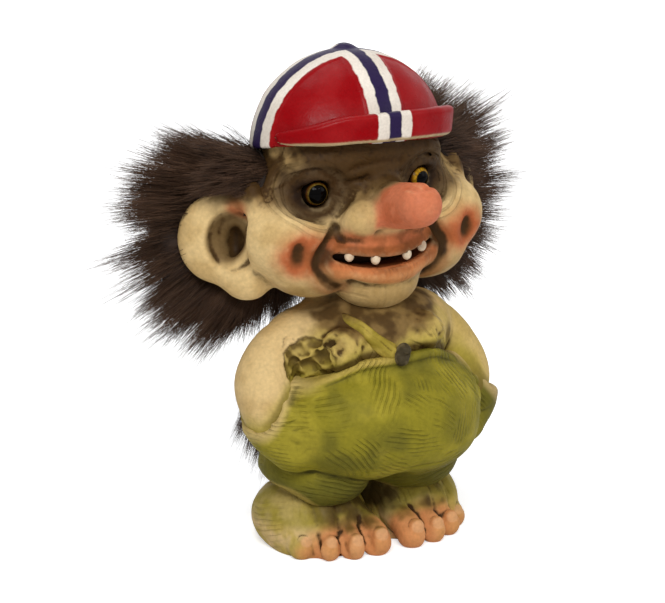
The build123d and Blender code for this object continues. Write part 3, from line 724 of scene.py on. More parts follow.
def paint_head(skin):
    p = skin.points
    z = p[:, 2]
    across = np.abs(p[:, 0])
    mottling = cloud(p, 6, 1)
    nose = pink_nose(p)
    paint = Paint(p, CREAM)
    paint.coat(TAN, 0.8 * ramp(mottling, 0.4, 0.7))
    paint.coat(JOWL, 0.85 * fall(z, 80, 90) * fall(across, 26, 34) * (0.6 + 0.5 * mottling))
    for side in SIDES:
        blush = spot(p, (side * 27.5, -8, 92.5), (12.5, 12, 11)) * (0.6 + 0.8 * cloud(p, 3, 16))
        paint.coat(BLUSH, 0.95 * ramp(blush, 0.0, 0.6))
        paint.coat(LIP_DARK, 0.6 * ramp(blush, 0.3, 0.9))
        paint.coat(BLUSH, 0.8 * patch(p, ear_point(side, -6, 10, 2), (8, 8, 7), 0.1, 0.7))
    paint.coat(NOSE_PINK, nose)
    paint.coat(BLUSH, 0.45 * nose * ramp(cloud(p, 4, 12), 0.45, 0.7))
    paint_lips(paint, p, mottling)
    ragged = 10 * uneven(p, 8, 5)
    between = spot(p, (0, -9, 108), (14, 14, 12))
    forehead = ramp(z + ragged, 102.0, 109.0) * fall(p[:, 1], 9, 18)
    forehead = np.maximum(forehead, ramp(between + 0.03 * ragged, 0.1, 0.6)) * (1 - nose)
    paint.coat(BROWN, 0.95 * forehead)
    for side in SIDES:
        wing = patch(p, (side * 9.6, -13, 101.6), (7.5, 9, 7.5), 0.12, 0.4)
        paint.coat(TAN, 0.9 * wing * (1 - nose))
    # the forehead darkens towards the cap as painted shade under the brim, with dark wash in blotches
    dark = np.clip(ramp(z, 106, 114) + 0.8 * ramp(cloud(p, 9, 9), 0.4, 0.65), 0, 1)
    paint.coat(WASH_AND_SHADE, 0.9 * forehead * dark)
    paint.coat(TAN, 0.65 * forehead * ramp(across, 22, 26) * ramp(cloud(p, 6, 37), 0.45, 0.65))
    for side in SIDES:
        paint_cheek(paint, p, side, ragged)
    calm = 1 - 0.85 * smooth_nose(p)
    open_face = calm * (1 - 0.8 * patch(p, (0, -13, 100), (22, 14, 13), 0.1, 0.4))
    # dark wash and painted shade in creases and hollows, kept off the smooth nose
    crease_wash_and_shade = 0.95 * calm * ramp(skin.crease, 0.12, 0.7) + 0.85 * open_face * ramp(skin.hollow, 0.12, 0.8)
    paint.coat(WASH_AND_SHADE, np.clip(crease_wash_and_shade, 0, 1) * (0.75 + 0.25 * mottling))
    # painted shade, near black, in the deepest hollows of the pale face
    pale = (1 - forehead) * fall(across, 34, 38)
    paint.coat(BLACKISH, 0.8 * open_face * ramp(skin.hollow, 0.6, 1.0) * pale)
    # painted shade in the forehead's sunken cracks
    paint.coat(WASH_AND_SHADE, 0.4 * forehead_cracks(p))
    pores = ramp(noise(p @ turned(x=30, y=40), 1.1, 14), 0.68, 0.9)
    paint.coat(BLACKISH, 0.5 * pores * forehead)
    # painted highlight on ridges, away from the forehead
    paint.coat(RIDGE_HIGHLIGHT, 0.12 * ramp(-skin.crease, 0.3, 0.9) * (1 - forehead))
    return paint.colour


def paint_lips(paint, p, mottling):
    x, y, z = p.T
    along = MOUTH_MIDDLE + np.linspace(-15.5, 15.5, 15)
    lower = [(at, lip_front(at) - 0.8, mouth_middle(at) - mouth_half(at) - 2.3) for at in along]
    upper = [(at, lip_front(at), mouth_middle(at) + mouth_half(at) + 1.2) for at in along]
    paint.coat(BLUSH, 0.85 * ramp(line_mask(p, upper, 9.5), 0.05, 0.55))
    paint.coat(LIP_DARK, 0.9 * ramp(line_mask(p, upper, 3.6), 0.05, 0.6))
    paint.coat(LIP, 0.9 * ramp(line_mask(p, lower, 4.6), 0.05, 0.6) * (0.5 + 0.5 * mottling))
    paint.coat(WASH_AND_SHADE, 0.4 * ramp(line_mask(p, upper, 9.0), 0.05, 0.5) * ramp(cloud(p, 3.5, 42), 0.4, 0.65))
    inside = (y > lip_front(x) + 1.8) & (np.abs(z - mouth_middle(x)) < 2.4)
    paint.coat(MOUTH_BROWN, inside & (np.abs(x) < MOUTH_HALF + 1) & (y < 0))


def paint_cheek(paint, p, side, ragged):
    """The eye socket, ear bowl, fold, mouth corner and dimple of one side, darkened with paint and painted
    shade.
    """
    # dark paint round the eye, deepening to painted shade in the socket
    socket = spot(p, eye_point(side, 1.6, 1.0, 0.4), (15.5, 14, 12.5)) + 0.012 * ragged
    paint.coat(SOCKET, 0.9 * ramp(socket, 0.02, 0.4))
    paint.coat(WASH_AND_SHADE, 0.85 * ramp(socket, 0.3, 0.65))
    paint.coat(BLACKISH, 0.95 * ramp(socket, 0.55, 0.8))
    # painted shade in the ear's bowl
    bowl = patch(p, ear_point(side, -2.4, 0, -0.5), (11.5, 9, 12.5), 0.12, 0.5)
    paint.coat(BROWN, 0.8 * bowl)
    paint.coat(WASH_AND_SHADE, 0.5 * bowl * (0.4 + 0.8 * cloud(p, 4, 18)))
    # painted shade along the fold beside the mouth, darkest where it runs deep
    fold = smooth_path([on_skin(p, x, z) for x, z, _ in FOLDS[side]])
    shadow = line_mask(p, fold, 3.4) + 0.6 * uneven(p, 3, 39)
    paint.coat(LIP_DARK, 0.6 * ramp(line_mask(p, fold, 7.5), 0.1, 0.8) * fall(p[:, 2], 92, 97))
    paint.coat(WASH_AND_SHADE, 0.7 * ramp(shadow, 0.3, 0.9))
    deep = patch(p, on_skin(p, side * 21, 89.5), (7, 9, 6.5), 0.05, 0.5)
    paint.coat(BLACKISH, 0.85 * ramp(shadow, 0.45, 0.9) * deep)
    # painted shade in the mouth corner
    corner = (MOUTH_MIDDLE + side * (MOUTH_HALF + 1.5), -8, 90.5)
    paint.coat(WASH_AND_SHADE, 0.9 * patch(p, corner, (6, 9, 6), 0.1, 0.6))
    # painted shade in the dimple
    dimple = on_skin(p, side * DIMPLE_X, DIMPLE_Z) - (0, 0, 0.6)
    paint.coat(WASH_AND_SHADE, 0.9 * patch(p, dimple, (4.6, 5, 6.5), 0.15, 0.95))


def face_lines(points):
    """Rings of wrinkles round the eyes and fine lines across the lips, forehead and jowls."""
    x, y, z = points.T
    phase, strength = hatching(points, FACE_PATCHES, 1.9, 80)
    strength = 0.3 * strength * fall(y, 0, 6) * (1 - smooth_nose(points))
    strength = strength * np.maximum(ramp(z, 104, 109), fall(z, 84, 88))
    for side in SIDES:
        away = points - eye_point(side, 0.8, 1.0, -0.4)
        reach = np.linalg.norm(away * (0.9, 0.7, 1.0), axis=1)
        outer = ramp(side * away[:, 0] - 0.4 * away[:, 2], -3, 3)
        ring = ramp(reach, 6.5, 8.0) * fall(reach, 11.0, 14.5) * outer
        phase = np.where(ring > 0, 2 * math.pi * reach / 2.1 + 3 * noise(points, 5, 84), phase)
        strength = np.where(ring > 0, 0.9 * ring, strength)
    lips = np.abs(z - mouth_middle(x) + 2.5) < 4
    lips = lips & (y < lip_front(x) + 3) & (np.abs(x) < MOUTH_HALF)
    phase = np.where(lips, x * 4.2 + 8 * noise(points, 3, 86), phase)
    strength = np.where(lips, 0.5 * ramp(noise(points, 2, 87), 0.4, 0.9), strength)
    return line_layer(phase, strength)


def make_head():
    skin = skin_of(head_clay())
    p = skin.points
    brow = ramp(p[:, 2], 103, 107) * ramp(p[:, 1], -14, -11) * (1 - smooth_nose(p))
    lumps = 0.35 * uneven(p, 9, 3) + 0.18 * uneven(p, 2.4, 8) - 0.12 * forehead_cracks(p)
    skin = raised(skin, lumps + 0.5 * brow * uneven(p @ turned(x=30, y=40), 2.2, 13))
    piece("head_sculpt", skin, paint_head(skin), skin_material, "figure",
          ("head", "left_ear", "right_ear"), face_lines(skin.points))


# Eyes
IRIS_ANGLE = 58
PUPIL_ANGLES = {LEFT: 36, RIGHT: 45}
IRIS_GOLD = {LEFT: rgb(198, 148, 30), RIGHT: rgb(112, 92, 34)}
IRIS_STREAK = rgb(62, 42, 12)
IRIS_EDGE = rgb(70, 36, 6)
EYE_RIM = rgb(20, 12, 6)
PUPIL_BLACK = rgb(3, 2, 2)


def eye_material():
    """Painted glass under a clear gloss."""
    material, tree, shader = new_material("eye_glass")
    streaks = range_node(tree, noise_node(tree, 1800.0), 0.3, 0.7, 0.7, 1.3)
    connect(tree, shader, {
        "Base Color": shaded(tree, stored(tree, "paint", "Color"), streaks),
        "Roughness": range_node(tree, noise_node(tree, 500.0), 0.3, 0.7, 0.05, 0.12),
        "Specular IOR Level": 0.03,
        "Coat Weight": 0.03,
        "Coat Roughness": 0.02,
    })
    return material


def make_eyes():
    material = eye_material()
    for side, name in ((LEFT, "left_eye"), (RIGHT, "right_eye")):
        centre = EYES[side]
        looking = eye_point(side, 0, 1, 0) - centre
        clay = Clay(centre - 5, centre + 5, 0.14)
        clay.add(egg(centre, (EYE_RADIUS, EYE_RADIUS, EYE_RADIUS)))
        clay.keep(
            lambda x, y, z: -0.6 - (x - centre[0]) * looking[0] - (y - centre[1]) * looking[1] + 0 * z, 0.1
        )
        skin = skin_of(clay, 3)
        out = skin.points - centre
        along = out @ looking / np.linalg.norm(out, axis=1)
        angle = np.degrees(np.arccos(np.clip(along, -1, 1)))
        around = np.arctan2(out[:, 2], np.cross(out, looking)[:, 2])
        iris = Paint(out, IRIS_GOLD[side])
        iris.coat(IRIS_STREAK, noise(np.stack((around * 6, angle / 30, 0 * around), 1), 1.0, 5))
        iris.coat(IRIS_EDGE, ramp(angle, IRIS_ANGLE - 12, IRIS_ANGLE))
        paint = Paint(out, EYE_RIM)
        paint.coat(iris.colour, ramp(angle, IRIS_ANGLE + 4, IRIS_ANGLE - 2))
        pupil = PUPIL_ANGLES[side]
        paint.coat(PUPIL_BLACK, ramp(angle, pupil + 2, pupil - 2))
        nodes = tuple(f"{name}_{part}" for part in ("glass", "iris", "pupil"))
        piece(name + "_sculpt", skin, paint.colour, material, "figure", nodes)


# Upper body
CHEST = np.array((0, 1, 61))
CHEST_HALF = np.array((28, 19.5, 16))
ARMS = {
    LEFT: ((21.0, 3.5, 65.5, 6.0), (27.5, 2.5, 59.5, 7.2), (31.5, 1.0, 53.5, 7.8),
           (34.2, -1.0, 46.5, 8.0), (33.5, -3.5, 41.0, 7.2)),
    RIGHT: ((-22.5, 3.5, 65.0, 6.0), (-29.0, 3.0, 60.5, 7.6), (-34.3, 1.0, 53.5, 8.4),
            (-34.5, -1.0, 47.0, 8.2), (-33.5, -3.5, 41.0, 7.2)),
}
ARM_CREASE = ((20.5, -15.0, 68, 0.8), (22.5, -13.0, 63, 1.8), (25.0, -11.0, 57, 2.6), (26.5, -10.5, 51, 2.6))
ARMPIT_RIDGES = 5
BREASTS = ((-16.5, -13.5, 63.5), (10.7, -14.5, 64.5))
ARMPIT = (-25.8, -10.5, 59.5)
CHEST_PATCHES = (
    ((11, -18, 66), (0.9, 0, 0.5)), ((8, -19, 62), (0.4, 0, 0.9)), ((-4, -18, 66), (1, 0, -0.3)),
    ((-30, -3, 64), (0.8, 0, -0.6)), ((-36, -6, 56), (0.9, 0, 0.3)), ((-34, -9, 48), (0.2, 0, 1)),
    ((30, -3, 64), (0.8, 0, 0.6)), ((34, -6, 54), (1, 0, 0.2)), ((-16, -18, 63), (0.5, 0, 0.8)),
)


def waist_top(x, y):
    """The height of the trousers' edge, which drops to the pockets at the sides."""
    drop = 4 * ramp(np.abs(x), 10, 26) + 14 * ramp(np.abs(x), 28, 42)
    return 58 + 2.6 * ramp(-y, 8, 20) - drop * fall(y, 4, 14)


def hem(x, y):
    """The height of the trouser legs' lower edge, which rises to the outer sides."""
    away = np.abs(x)
    return 14.0 + 6.5 * ramp(away, 20, 31) + 2.0 * fall(away, 3, 9) + 2.0 * ramp(y, 0, 14)


def torso_clay():
    clay = Clay((-50, -28, 36), (50, 28, 84), 0.5)
    clay.add(egg(CHEST, CHEST_HALF))
    clay.add(tube([(0, 4, 60, 14), (0, 6, 74, 13)]), 3)
    for place in BREASTS:
        clay.add(egg(place, (7.0, 5.5, 6.5)), 1.5)
    for side in SIDES:
        clay.add(egg((side * 20.5, 3.5, 63.0), (9.5, 11, 8.5)), 3)
        clay.add(curve(ARMS[side]), 1.6)
        clay.carve(curve(mirrored(ARM_CREASE, side)), 1.6)
    heights = np.linspace(52.5, 65.5, 8)
    for number in range(ARMPIT_RIDGES):
        waves = 1.1 * np.sin(heights * 0.8 + 2.3 * number)
        start = 20.5 + 2.4 * number
        ridge = [(RIGHT * (start + wave), z, 0.75 + 0.2 * wave) for z, wave in zip(heights, waves)]
        clay.add(clay.on_front(ridge, 0.2), 0.5)
    return clay


def torso_relief(p):
    """Lumpy breasts and a torn armpit: the height, and masks of the chest, the armpit and the dips between
    the curls, where shade is painted.
    """
    lumps = sum(patch(p, place, (9.5, 9, 9), 0.03, 0.3) for place in BREASTS)
    pits = ramp(spot(p, ARMPIT, (9.5, 12, 12)) + 0.4 * uneven(p, 4.5, 27), 0.16, 0.3)
    chest = ramp(-p[:, 1], 4, 9) * fall(np.abs(p[:, 0]), 25, 29)
    tilted = p @ turned(x=25, y=33, z=40)
    curls = 0.6 * noise(tilted, 2.6, 21) + 0.4 * noise(tilted, 1.7, 22)
    torn = 0.65 * noise(tilted, 2.6, 24) + 0.35 * noise(tilted, 1.5, 25)
    lumps = np.clip(lumps - pits, 0, 1)
    height = 2.2 * lumps * (curls - 0.6) + pits * (2.4 * torn - 1.8)
    return height + 0.2 * uneven(p, 3, 9), chest, pits, lumps * fall(curls, 0.36, 0.52)


def make_torso():
    skin = skin_of(torso_clay())
    height, chest, pits, rough = torso_relief(skin.points)
    skin = raised(skin, height)
    p = skin.points
    x, y, z = p.T
    mottling = cloud(p, 7, 2)
    paint = Paint(p, CREAM)
    paint.coat(TAN, 0.7 * ramp(mottling, 0.42, 0.75))
    paint.coat(OLIVE_SKIN, np.maximum(chest, 0.7 * ramp(x, 20, 27)) * (0.6 + 0.4 * mottling))
    # painted shade in the crease between the left arm and the chest
    paint.coat(OLIVE_DARK, 0.8 * patch(p, (24, -11, 58), (5, 9, 11), 0.1, 0.6))
    paint.coat(OLIVE_SKIN, 0.8 * pits)
    # painted shade in the torn armpit's hollows
    paint.coat(OLIVE_DARK, 0.75 * pits * ramp(skin.hollow, -0.6, 0.4))
    # painted shade in the dips between the chest's curls
    paint.coat(BROWN, 0.5 * rough)
    # painted shade in a ring round the torn armpit's edge
    paint.coat(WASH_AND_SHADE, 0.75 * ramp(pits, 0.02, 0.3) * fall(pits, 0.6, 0.98))
    edge = waist_top(x, y) - z
    paint.coat(GREEN_LIGHT, 0.75 * ramp(edge + 5 * (mottling - 0.5), -7, 1) * fall(y, -2, 6))
    # painted shade on the torso where it meets the trousers' edge
    paint.coat(WASH_AND_SHADE, 0.85 * ramp(edge + 1.6 * (mottling - 0.5), -3.6, -1.6) * ramp(-y, 6, 12))
    # the neck browned and darkened as painted shade under the head
    neck = ramp(z + 8 * uneven(p, 6, 17) - 0.34 * np.abs(x + 2), 61, 65) * fall(y, -4, 4)
    paint.coat(BROWN, 0.9 * neck)
    paint.coat(WASH_AND_SHADE, 0.8 * neck * ramp(cloud(p, 5, 19), 0.35, 0.6))
    # dark wash and painted shade in creases and hollows, less in the armpit
    paint.coat(WASH_AND_SHADE, dips(skin, (0.8, 0.15, 0.9), (0.8, 0.15, 0.9), 0.9) * (1 - 0.5 * pits))
    phase, strength = hatching(p, CHEST_PATCHES, 2.0, 90)
    layers = line_layer(phase, strength * (1 - pits) * (1 - neck) * (0.15 + 0.6 * chest))
    piece("torso_sculpt", skin, paint.colour, skin_material, "figure",
          ("torso", "left_arm", "right_arm"), layers)


STRAP = (
    (-14.5, -5.8, 72.0, 0.9), (-11.5, -11.6, 69.9, 2.1), (-7.5, -16.2, 65.5, 2.5), (-3.5, -18.2, 62, 2.7),
)
STRAP_GREEN = rgb(142, 124, 44)
STRAP_LIGHT = rgb(170, 148, 66)
BUTTON = np.array((-0.6, -20.8, 61.2))
BUTTON_GREY = rgb(104, 92, 66)
BUTTON_DARK = rgb(62, 54, 38)


def make_strap():
    clay = Clay((-20, -26, 55), (6, -4, 79), 0.35)
    clay.add(curve(STRAP))
    clay.carve(egg(CHEST, CHEST_HALF - 0.8), 0.3)
    skin = skin_of(clay)
    ribs = np.sin((skin.points[:, 0] + skin.points[:, 2]) * 2.1 + 3 * noise(skin.points, 4, 4))
    skin = raised(skin, 0.16 * ribs + 0.3 * uneven(skin.points, 3, 5))
    p = skin.points
    paint = Paint(p, STRAP_GREEN)
    paint.coat(STRAP_LIGHT, ramp(cloud(p, 5, 6), 0.4, 0.7))
    # darker towards its top as painted shade under the head
    paint.coat(BROWN, 0.7 * ramp(p[:, 2] + 3 * uneven(p, 3, 8), 69.5, 72.5))
    # painted shade on the sides turned away from the front and in the creases
    side_shade = 0.9 * ramp(-skin.normals[:, 1], 0.45, 0.1)
    paint.coat(WASH_AND_SHADE, np.clip(ramp(skin.crease, 0.1, 0.7) + side_shade, 0, 0.9))
    piece("strap_sculpt", skin, paint.colour, green_material, "figure", ("shoulder_strap",))


def make_button():
    clay = Clay(BUTTON - 6, BUTTON + 6, 0.3)
    clay.add(egg(BUTTON, (2.5, 2.0, 3.5), turned(y=18)))
    clay.add(egg(BUTTON + (0.4, -1.2, 1.4), (1.7, 1.4, 1.6)), 0.6)
    clay.add(egg(BUTTON + (-0.5, -1.1, -1.5), (1.8, 1.3, 1.6)), 0.6)
    clay.carve(tube([(*(BUTTON + (-3, -2.2, 0.6)), 0.4), (*(BUTTON + (3, -2.2, -0.4)), 0.4)]), 0.6)
    skin = skin_of(clay)
    paint = Paint(skin.points, BUTTON_GREY)
    paint.coat(BUTTON_DARK, ramp(cloud(skin.points, 2.5, 7), 0.4, 0.65))
    # painted shade in the button's creases
    paint.coat(BLACKISH, ramp(skin.crease, 0.1, 0.7))
    piece("button_sculpt", skin, paint.colour, green_material, "figure", ("strap_button",))


# Trousers
def wrinkles(points, stretch, seed):
    """Long creases, 1 in the middle of each, drawn out along the axes with a small stretch."""
    return ramp(1 - np.abs(2 * cloud(points * np.array(stretch), 5, seed, 2) - 1), 0.75, 1.0)


POCKETS = {
    LEFT: ((31.5, 1.5, 52, 8.0), (34.2, 0.0, 46, 8.8), (36.0, -1.5, 39, 9.2), (31.0, -5.0, 32, 7.5)),
    RIGHT: ((-32.5, 1.5, 53, 8.6), (-34.3, 0.0, 47, 9.0), (-33.4, -3.5, 41, 8.8), (-29.0, -7.0, 35, 8.0)),
}
SIDE_SEAM = ((29.5, -12.5, 50, 0.8), (31.5, -12.0, 44, 1.4), (31.5, -13.0, 38, 1.4), (29, -16, 32, 0.8))
TROUSER_PATCHES = (
    ((2, -30, 45.5), (0.6, 0, 0.8)), ((-13, -28, 51), (0.8, 0, -0.6)), ((-2, -31, 38), (0.2, 0, 1)),
    ((-32, -12, 41), (0.1, 0, 1)), ((19, -23, 36), (1, 0, -0.3)), ((-20, -25, 32), (0.7, 0, 0.7)),
    ((15, -23, 27), (-0.2, 0, 1)), ((14, -24, 52), (0.9, 0, 0.4)), ((28, -16, 46), (0.8, 0, 0.6)),
    ((-24, -21, 46), (-0.3, 0, 1)), ((-8, -30, 30), (0.5, 0, 0.9)), ((5, -29, 54), (0.9, 0, -0.3)),
    ((36, 0, 44), (0.3, 0, 1)), ((-20, -12, 22), (0.3, 0, 1)), ((18, -12, 20), (-0.3, 0, 1)),
    ((-28, 18, 40), (0.4, 0, 0.9)), ((28, 18, 40), (-0.4, 0, 0.9)), ((0, 30, 40), (0.8, 0, 0.6)),
    ((-14, 26, 50), (0.2, 0, 1)), ((14, 26, 30), (-0.2, 0, 1)),
)


def trouser_clay():
    clay = Clay((-48, -35, 9), (48, 36, 66), 0.5)
    clay.add(egg((0, -1.5, 40.5), (35, 30, 20.5)))
    clay.add(egg((0, 7, 37), (32, 25, 18)), 3)
    clay.add(egg((8, -5.0, 34), (24, 23.5, 14)), 3)
    clay.add(egg(CHEST, CHEST_HALF + 2.2), 3)
    for side in SIDES:
        clay.add(egg((side * 15.5, 3, 23.5), (16.0, 18.5, 12)), 1.0)
        clay.add(curve(POCKETS[side]), 2.5)
    clay.carve(curve(SIDE_SEAM), 2.0)
    clay.carve(egg((0, -20, 18), (5.5, 13, 7)), 3)
    clay.keep(lambda x, y, z: z - waist_top(x, y), 1.2)
    clay.keep(lambda x, y, z: hem(x, y) - z, 1.5)
    return clay


def make_trousers():
    skin = skin_of(trouser_clay())
    p = skin.points
    below_edge = waist_top(p[:, 0], p[:, 1]) - p[:, 2]
    front_edge = fall(np.abs(p[:, 0]), 22, 29)
    lip = fall(below_edge, 1.4, 2.6) * ramp(below_edge, -0.5, 0.6) * front_edge
    low_front = spot(p, (-2, -26, 31), (28, 16, 11))
    side_fold = spot(p, (-33, -8, 43), (18, 20, 14)) + spot(p, (33, -8, 43), (14, 18, 14))
    height = 0.45 * lip + 0.4 * uneven(p, 8, 31)
    height = height - 0.4 * low_front * wrinkles(p, (0.25, 0.4, 1.3), 3)
    height = height + 0.5 * ramp(side_fold, 0.05, 0.5) * (wrinkles(p, (0.5, 0.5, 0.9), 14) - 0.4)
    skin = raised(skin, height)
    p = skin.points
    x, y, z = p.T
    mottling = cloud(p, 8, 11)
    paint = Paint(p, GREEN)
    paint.coat(GREEN_LIGHT, 0.8 * ramp(mottling, 0.45, 0.7))
    paint.coat(GREEN_DARK, 0.6 * ramp(cloud(p, 12, 44), 0.46, 0.7))
    # darker towards the bottom as painted shade
    paint.coat(GREEN_DARK, 0.85 * fall(z, 18, 30) * (0.5 + mottling))
    # painted shade on the outer side of the left pocket
    paint.coat(GREEN_DARK, 0.5 * ramp(x, 31, 36) * fall(y, 0, 8))
    paint.coat(OLIVE_SKIN, 0.6 * fall(z - hem(x, y), 0.6, 1.6))
    paint.coat(GREEN_LIGHT, 0.7 * patch(p, (-32, -12, 40), (15, 14, 13), 0.1, 0.5))
    paint.coat(GREEN_DARK, 0.35 * patch(p, (14, -26, 41), (14, 14, 12), 0.1, 0.5))
    paint.coat(OLIVE_SKIN, 0.8 * fall(below_edge, 1.2, 2.2) * front_edge * ramp(-x, 0, 6))
    paint.coat(CREAM, 0.6 * fall(below_edge, 0, 5) * (1 - front_edge) * fall(y, 0, 10))
    # painted shade in creases and hollows
    paint.coat(GREEN_SHADE, dips(skin, (0.6, 0.15, 0.9), (0.8, 0.2, 0.9), 0.85))
    phase, strength = hatching(p, TROUSER_PATCHES, 1.4, 95)
    layers = line_layer(phase, 0.8 * strength)
    piece("trousers_sculpt", skin, paint.colour, green_material, "figure", ("trousers",), layers)


# Feet
# Each toe's place across, its foremost place and its radius
TOES = ((6.3, -20.6, 4.5), (14.2, -19.6, 4.0), (21.2, -16.6, 3.9), (26.8, -11.2, 3.7))
FOOT_PATCHES = (
    ((10, -10, 12), (1, 0, 0.2)), ((22, -6, 12), (0.8, 0.5, 0)), ((31, 4, 12), (0.2, 0.2, 1)),
    ((28, 16, 8), (0, 0.4, 1)), ((16, 26, 8), (0.5, 0, 0.9)), ((2, 10, 10), (0, 0.5, 0.9)),
)


def foot_clay(side):
    low, high = sorted((side * -1, side * 36))
    clay = Clay((low, -26, -1), (high, 32, 24), 0.4)
    clay.add(egg((side * 16.2, 5, 8), (16.8, 18, 12.5)))
    clay.add(egg((side * 15.5, -1, 3), (14.5, 12.5, 11)), 3)
    clay.add(egg((side * 14, 14, 5), (12, 13.5, 10)), 3)
    clay.add(tube([(side * 15.5, 4, 8, 10), (side * 15.5, 4, 20, 10)]), 2)
    for x, front, radius in TOES:
        root = (0.86 * x + 1, front * 0.3 + 1, 8.4, radius)
        toe = [root, (x, front + radius + 2, radius * 1.2, radius), (x, front + radius, radius * 0.8, radius)]
        clay.add(tube(mirrored(toe, side)), 0.7)
    for (x, front, _), (next_x, next_front, _) in zip(TOES, TOES[1:]):
        across, ahead = side * (x + next_x) / 2, (front + next_front) / 2
        groove = [(across, ahead + 0.6, 0, 0.8)]
        for back, radius in ((2.6, 0.9), (4.6, 0.9), (6.6, 0.7), (8.6, 0.4)):
            inward = across - side * 0.12 * back
            groove.append((inward, ahead + back, clay.top(inward, ahead + back) + 0.2, radius))
        clay.carve(tube(groove), 2.2)
    for x, front, radius in TOES:
        nail = (side * x, front + 2.0, radius * 1.5)
        clay.add(egg(nail, (radius * 0.55, 1.5, radius * 0.5), turned(x=-25)), 0.25)
    clay.keep(lambda x, y, z: -z + 0 * x + 0 * y, 0.3)
    clay.keep(lambda x, y, z: 0.3 - side * x + 0 * y + 0 * z, 1.0)
    return clay


def make_foot(side, name):
    skin = skin_of(foot_clay(side))
    skin = raised(skin, 0.35 * uneven(skin.points, 4, 41) * ramp(skin.points[:, 2], 0.2, 1.0))
    p = skin.points
    x, y, z = p.T
    mottling = cloud(p, 6, 15)
    paint = Paint(p, OLIVE_SKIN)
    paint.coat(CREAM, ramp(mottling, 0.4, 0.65))
    toes = ramp(-y + 3 * (mottling - 0.5) - 0.3 * z, 6.5, 11) * ramp(y - 0.4 * np.abs(x), -40, -20)
    paint.coat(TOE, 0.95 * toes)
    top = ramp(z + 5 * (mottling - 0.5), 7.5, 11)
    paint.coat(GREEN, 0.6 * top)
    inner = fall(np.abs(side * x - 10), 8, 18)
    # painted shade on the top of the foot by its inner side, under the trouser cuff
    paint.coat(WASH_AND_SHADE, 0.85 * top * inner * ramp(cloud(p, 6, 45), 0.3, 0.6))
    # dark wash and painted shade in creases and hollows
    paint.coat(WASH_AND_SHADE, dips(skin, (0.95, 0.12, 0.8), (0.9, 0.2, 0.8), 1))
    for across, front, radius in TOES:
        reach = (radius * 0.75, 2.4, radius * 0.65)
        paint.coat(NAIL, 0.6 * patch(p, (side * across, front + 1.2, radius * 1.5), reach, 0.15, 0.4))
    patches = [(mirrored(place, side), mirrored(turn, side)) for place, turn in FOOT_PATCHES]
    phase, strength = hatching(p, patches, 1.8, 98)
    layers = line_layer(phase, 0.5 * strength * (1 - toes))
    piece(name + "_sculpt", skin, paint.colour, skin_material, "figure", (name,), layers)


# Cap
WHITE_BAND = 5.6
BLUE_BAND = 2.2
BRIM_HALF = (29.8, 19.8)
BRIM_OUT = -5.5
BRIM_FLARE = 1.4


def cap_local(points):
    """Places in the cap's own axes."""
    return (points - CAP_CENTRE) @ CAP_AXES


def along_cap(x, y, z):
    """Grid places along the cap's own axes."""
    away = (x - CAP_CENTRE[0], y - CAP_CENTRE[1], z - CAP_CENTRE[2])
    return [sum(away[i] * axis[i] for i in range(3)) for axis in CAP_AXES.T]


def cap_material():
    """Red paint with a white and blue cross from the cap's own places."""
    material, tree, shader = new_material("cap_paint")
    place = parts_of(tree, stored(tree, "cap_place"))
    ragged = range_node(tree, noise_node(tree, 260.0, 4.0), 0.0, 1.0, -0.9, 0.9)
    blotch = noise_node(tree, 120.0, 4.0)
    colour = colour_mix(tree, range_node(tree, blotch, 0.4, 0.75, 0, 0.7), CAP_RED, CAP_RED_LIGHT)
    worn_white = colour_mix(tree, range_node(tree, blotch, 0.3, 0.8, 0, 0.6), CAP_WHITE, CAP_WORN)
    for width, over in ((WHITE_BAND, worn_white), (BLUE_BAND, CAP_BLUE)):
        for axis in ("X", "Y"):
            rough = maths(tree, "ADD", maths(tree, "ABSOLUTE", place[axis]), ragged)
            band = range_node(tree, rough, width - 0.2, width + 0.2, 1, 0)
            colour = colour_mix(tree, band, colour, over)
    inner = parts_of(tree, stored(tree, "cap_side"))["X"]
    colour = colour_mix(tree, inner, colour, stored(tree, "paint", "Color"))
    grained(tree, shader, colour, 1400.0, (0.22, 0.42), 0.08, 0.00005, 0.10)
    return material


def cap_piece(name, skin, blotching, place, inner, material, nodes):
    """A piece of the cap, bare on its inner side."""
    paint = Paint(skin.points, CAP_UNDER)
    # darker blotches on the bare inner side
    paint.coat(WASH_AND_SHADE, blotching * cloud(skin.points, 4, 6))
    layers = (("cap_place", place), ("cap_side", np.repeat(inner, 3).reshape(-1, 3)))
    piece(name, skin, paint.colour, material, "cap", nodes, layers)


def make_crown(material):
    clay = Clay((-36, -24, 112), (36, 36, 149), 0.45)
    clay.add(egg(CAP_CENTRE, CAP_HALF, CAP_AXES))
    clay.add(egg(CAP_CENTRE + CAP_AXES @ (0, 0, 26.6), (3.4, 3.2, 1.8), CAP_AXES), 1.2)
    clay.carve(egg(CAP_CENTRE, CAP_HALF - CAP_WALL, CAP_AXES), 0.3)
    clay.keep(lambda x, y, z: -along_cap(x, y, z)[2])
    skin = skin_of(clay)
    place = cap_local(skin.points)
    cross = place + np.outer(0.13 * place[:, 2] - 1.0, (0, 1, 0))
    seams = np.minimum(np.abs(cross[:, 0]), np.abs(cross[:, 1]))
    depth = (place / CAP_HALF) ** 2 @ np.ones(3)
    relief = 0.35 * ramp(seams, 6.8, 6.0) + 0.5 * uneven(skin.points, 9, 51)
    skin = raised(skin, ramp(depth, 0.88, 0.95) * relief)
    inner = 1 - ramp(depth, 0.84, 0.9)
    cap_piece("cap_crown_sculpt", skin, 0.6, cross, inner, material, ("cap_crown", "cap_button"))


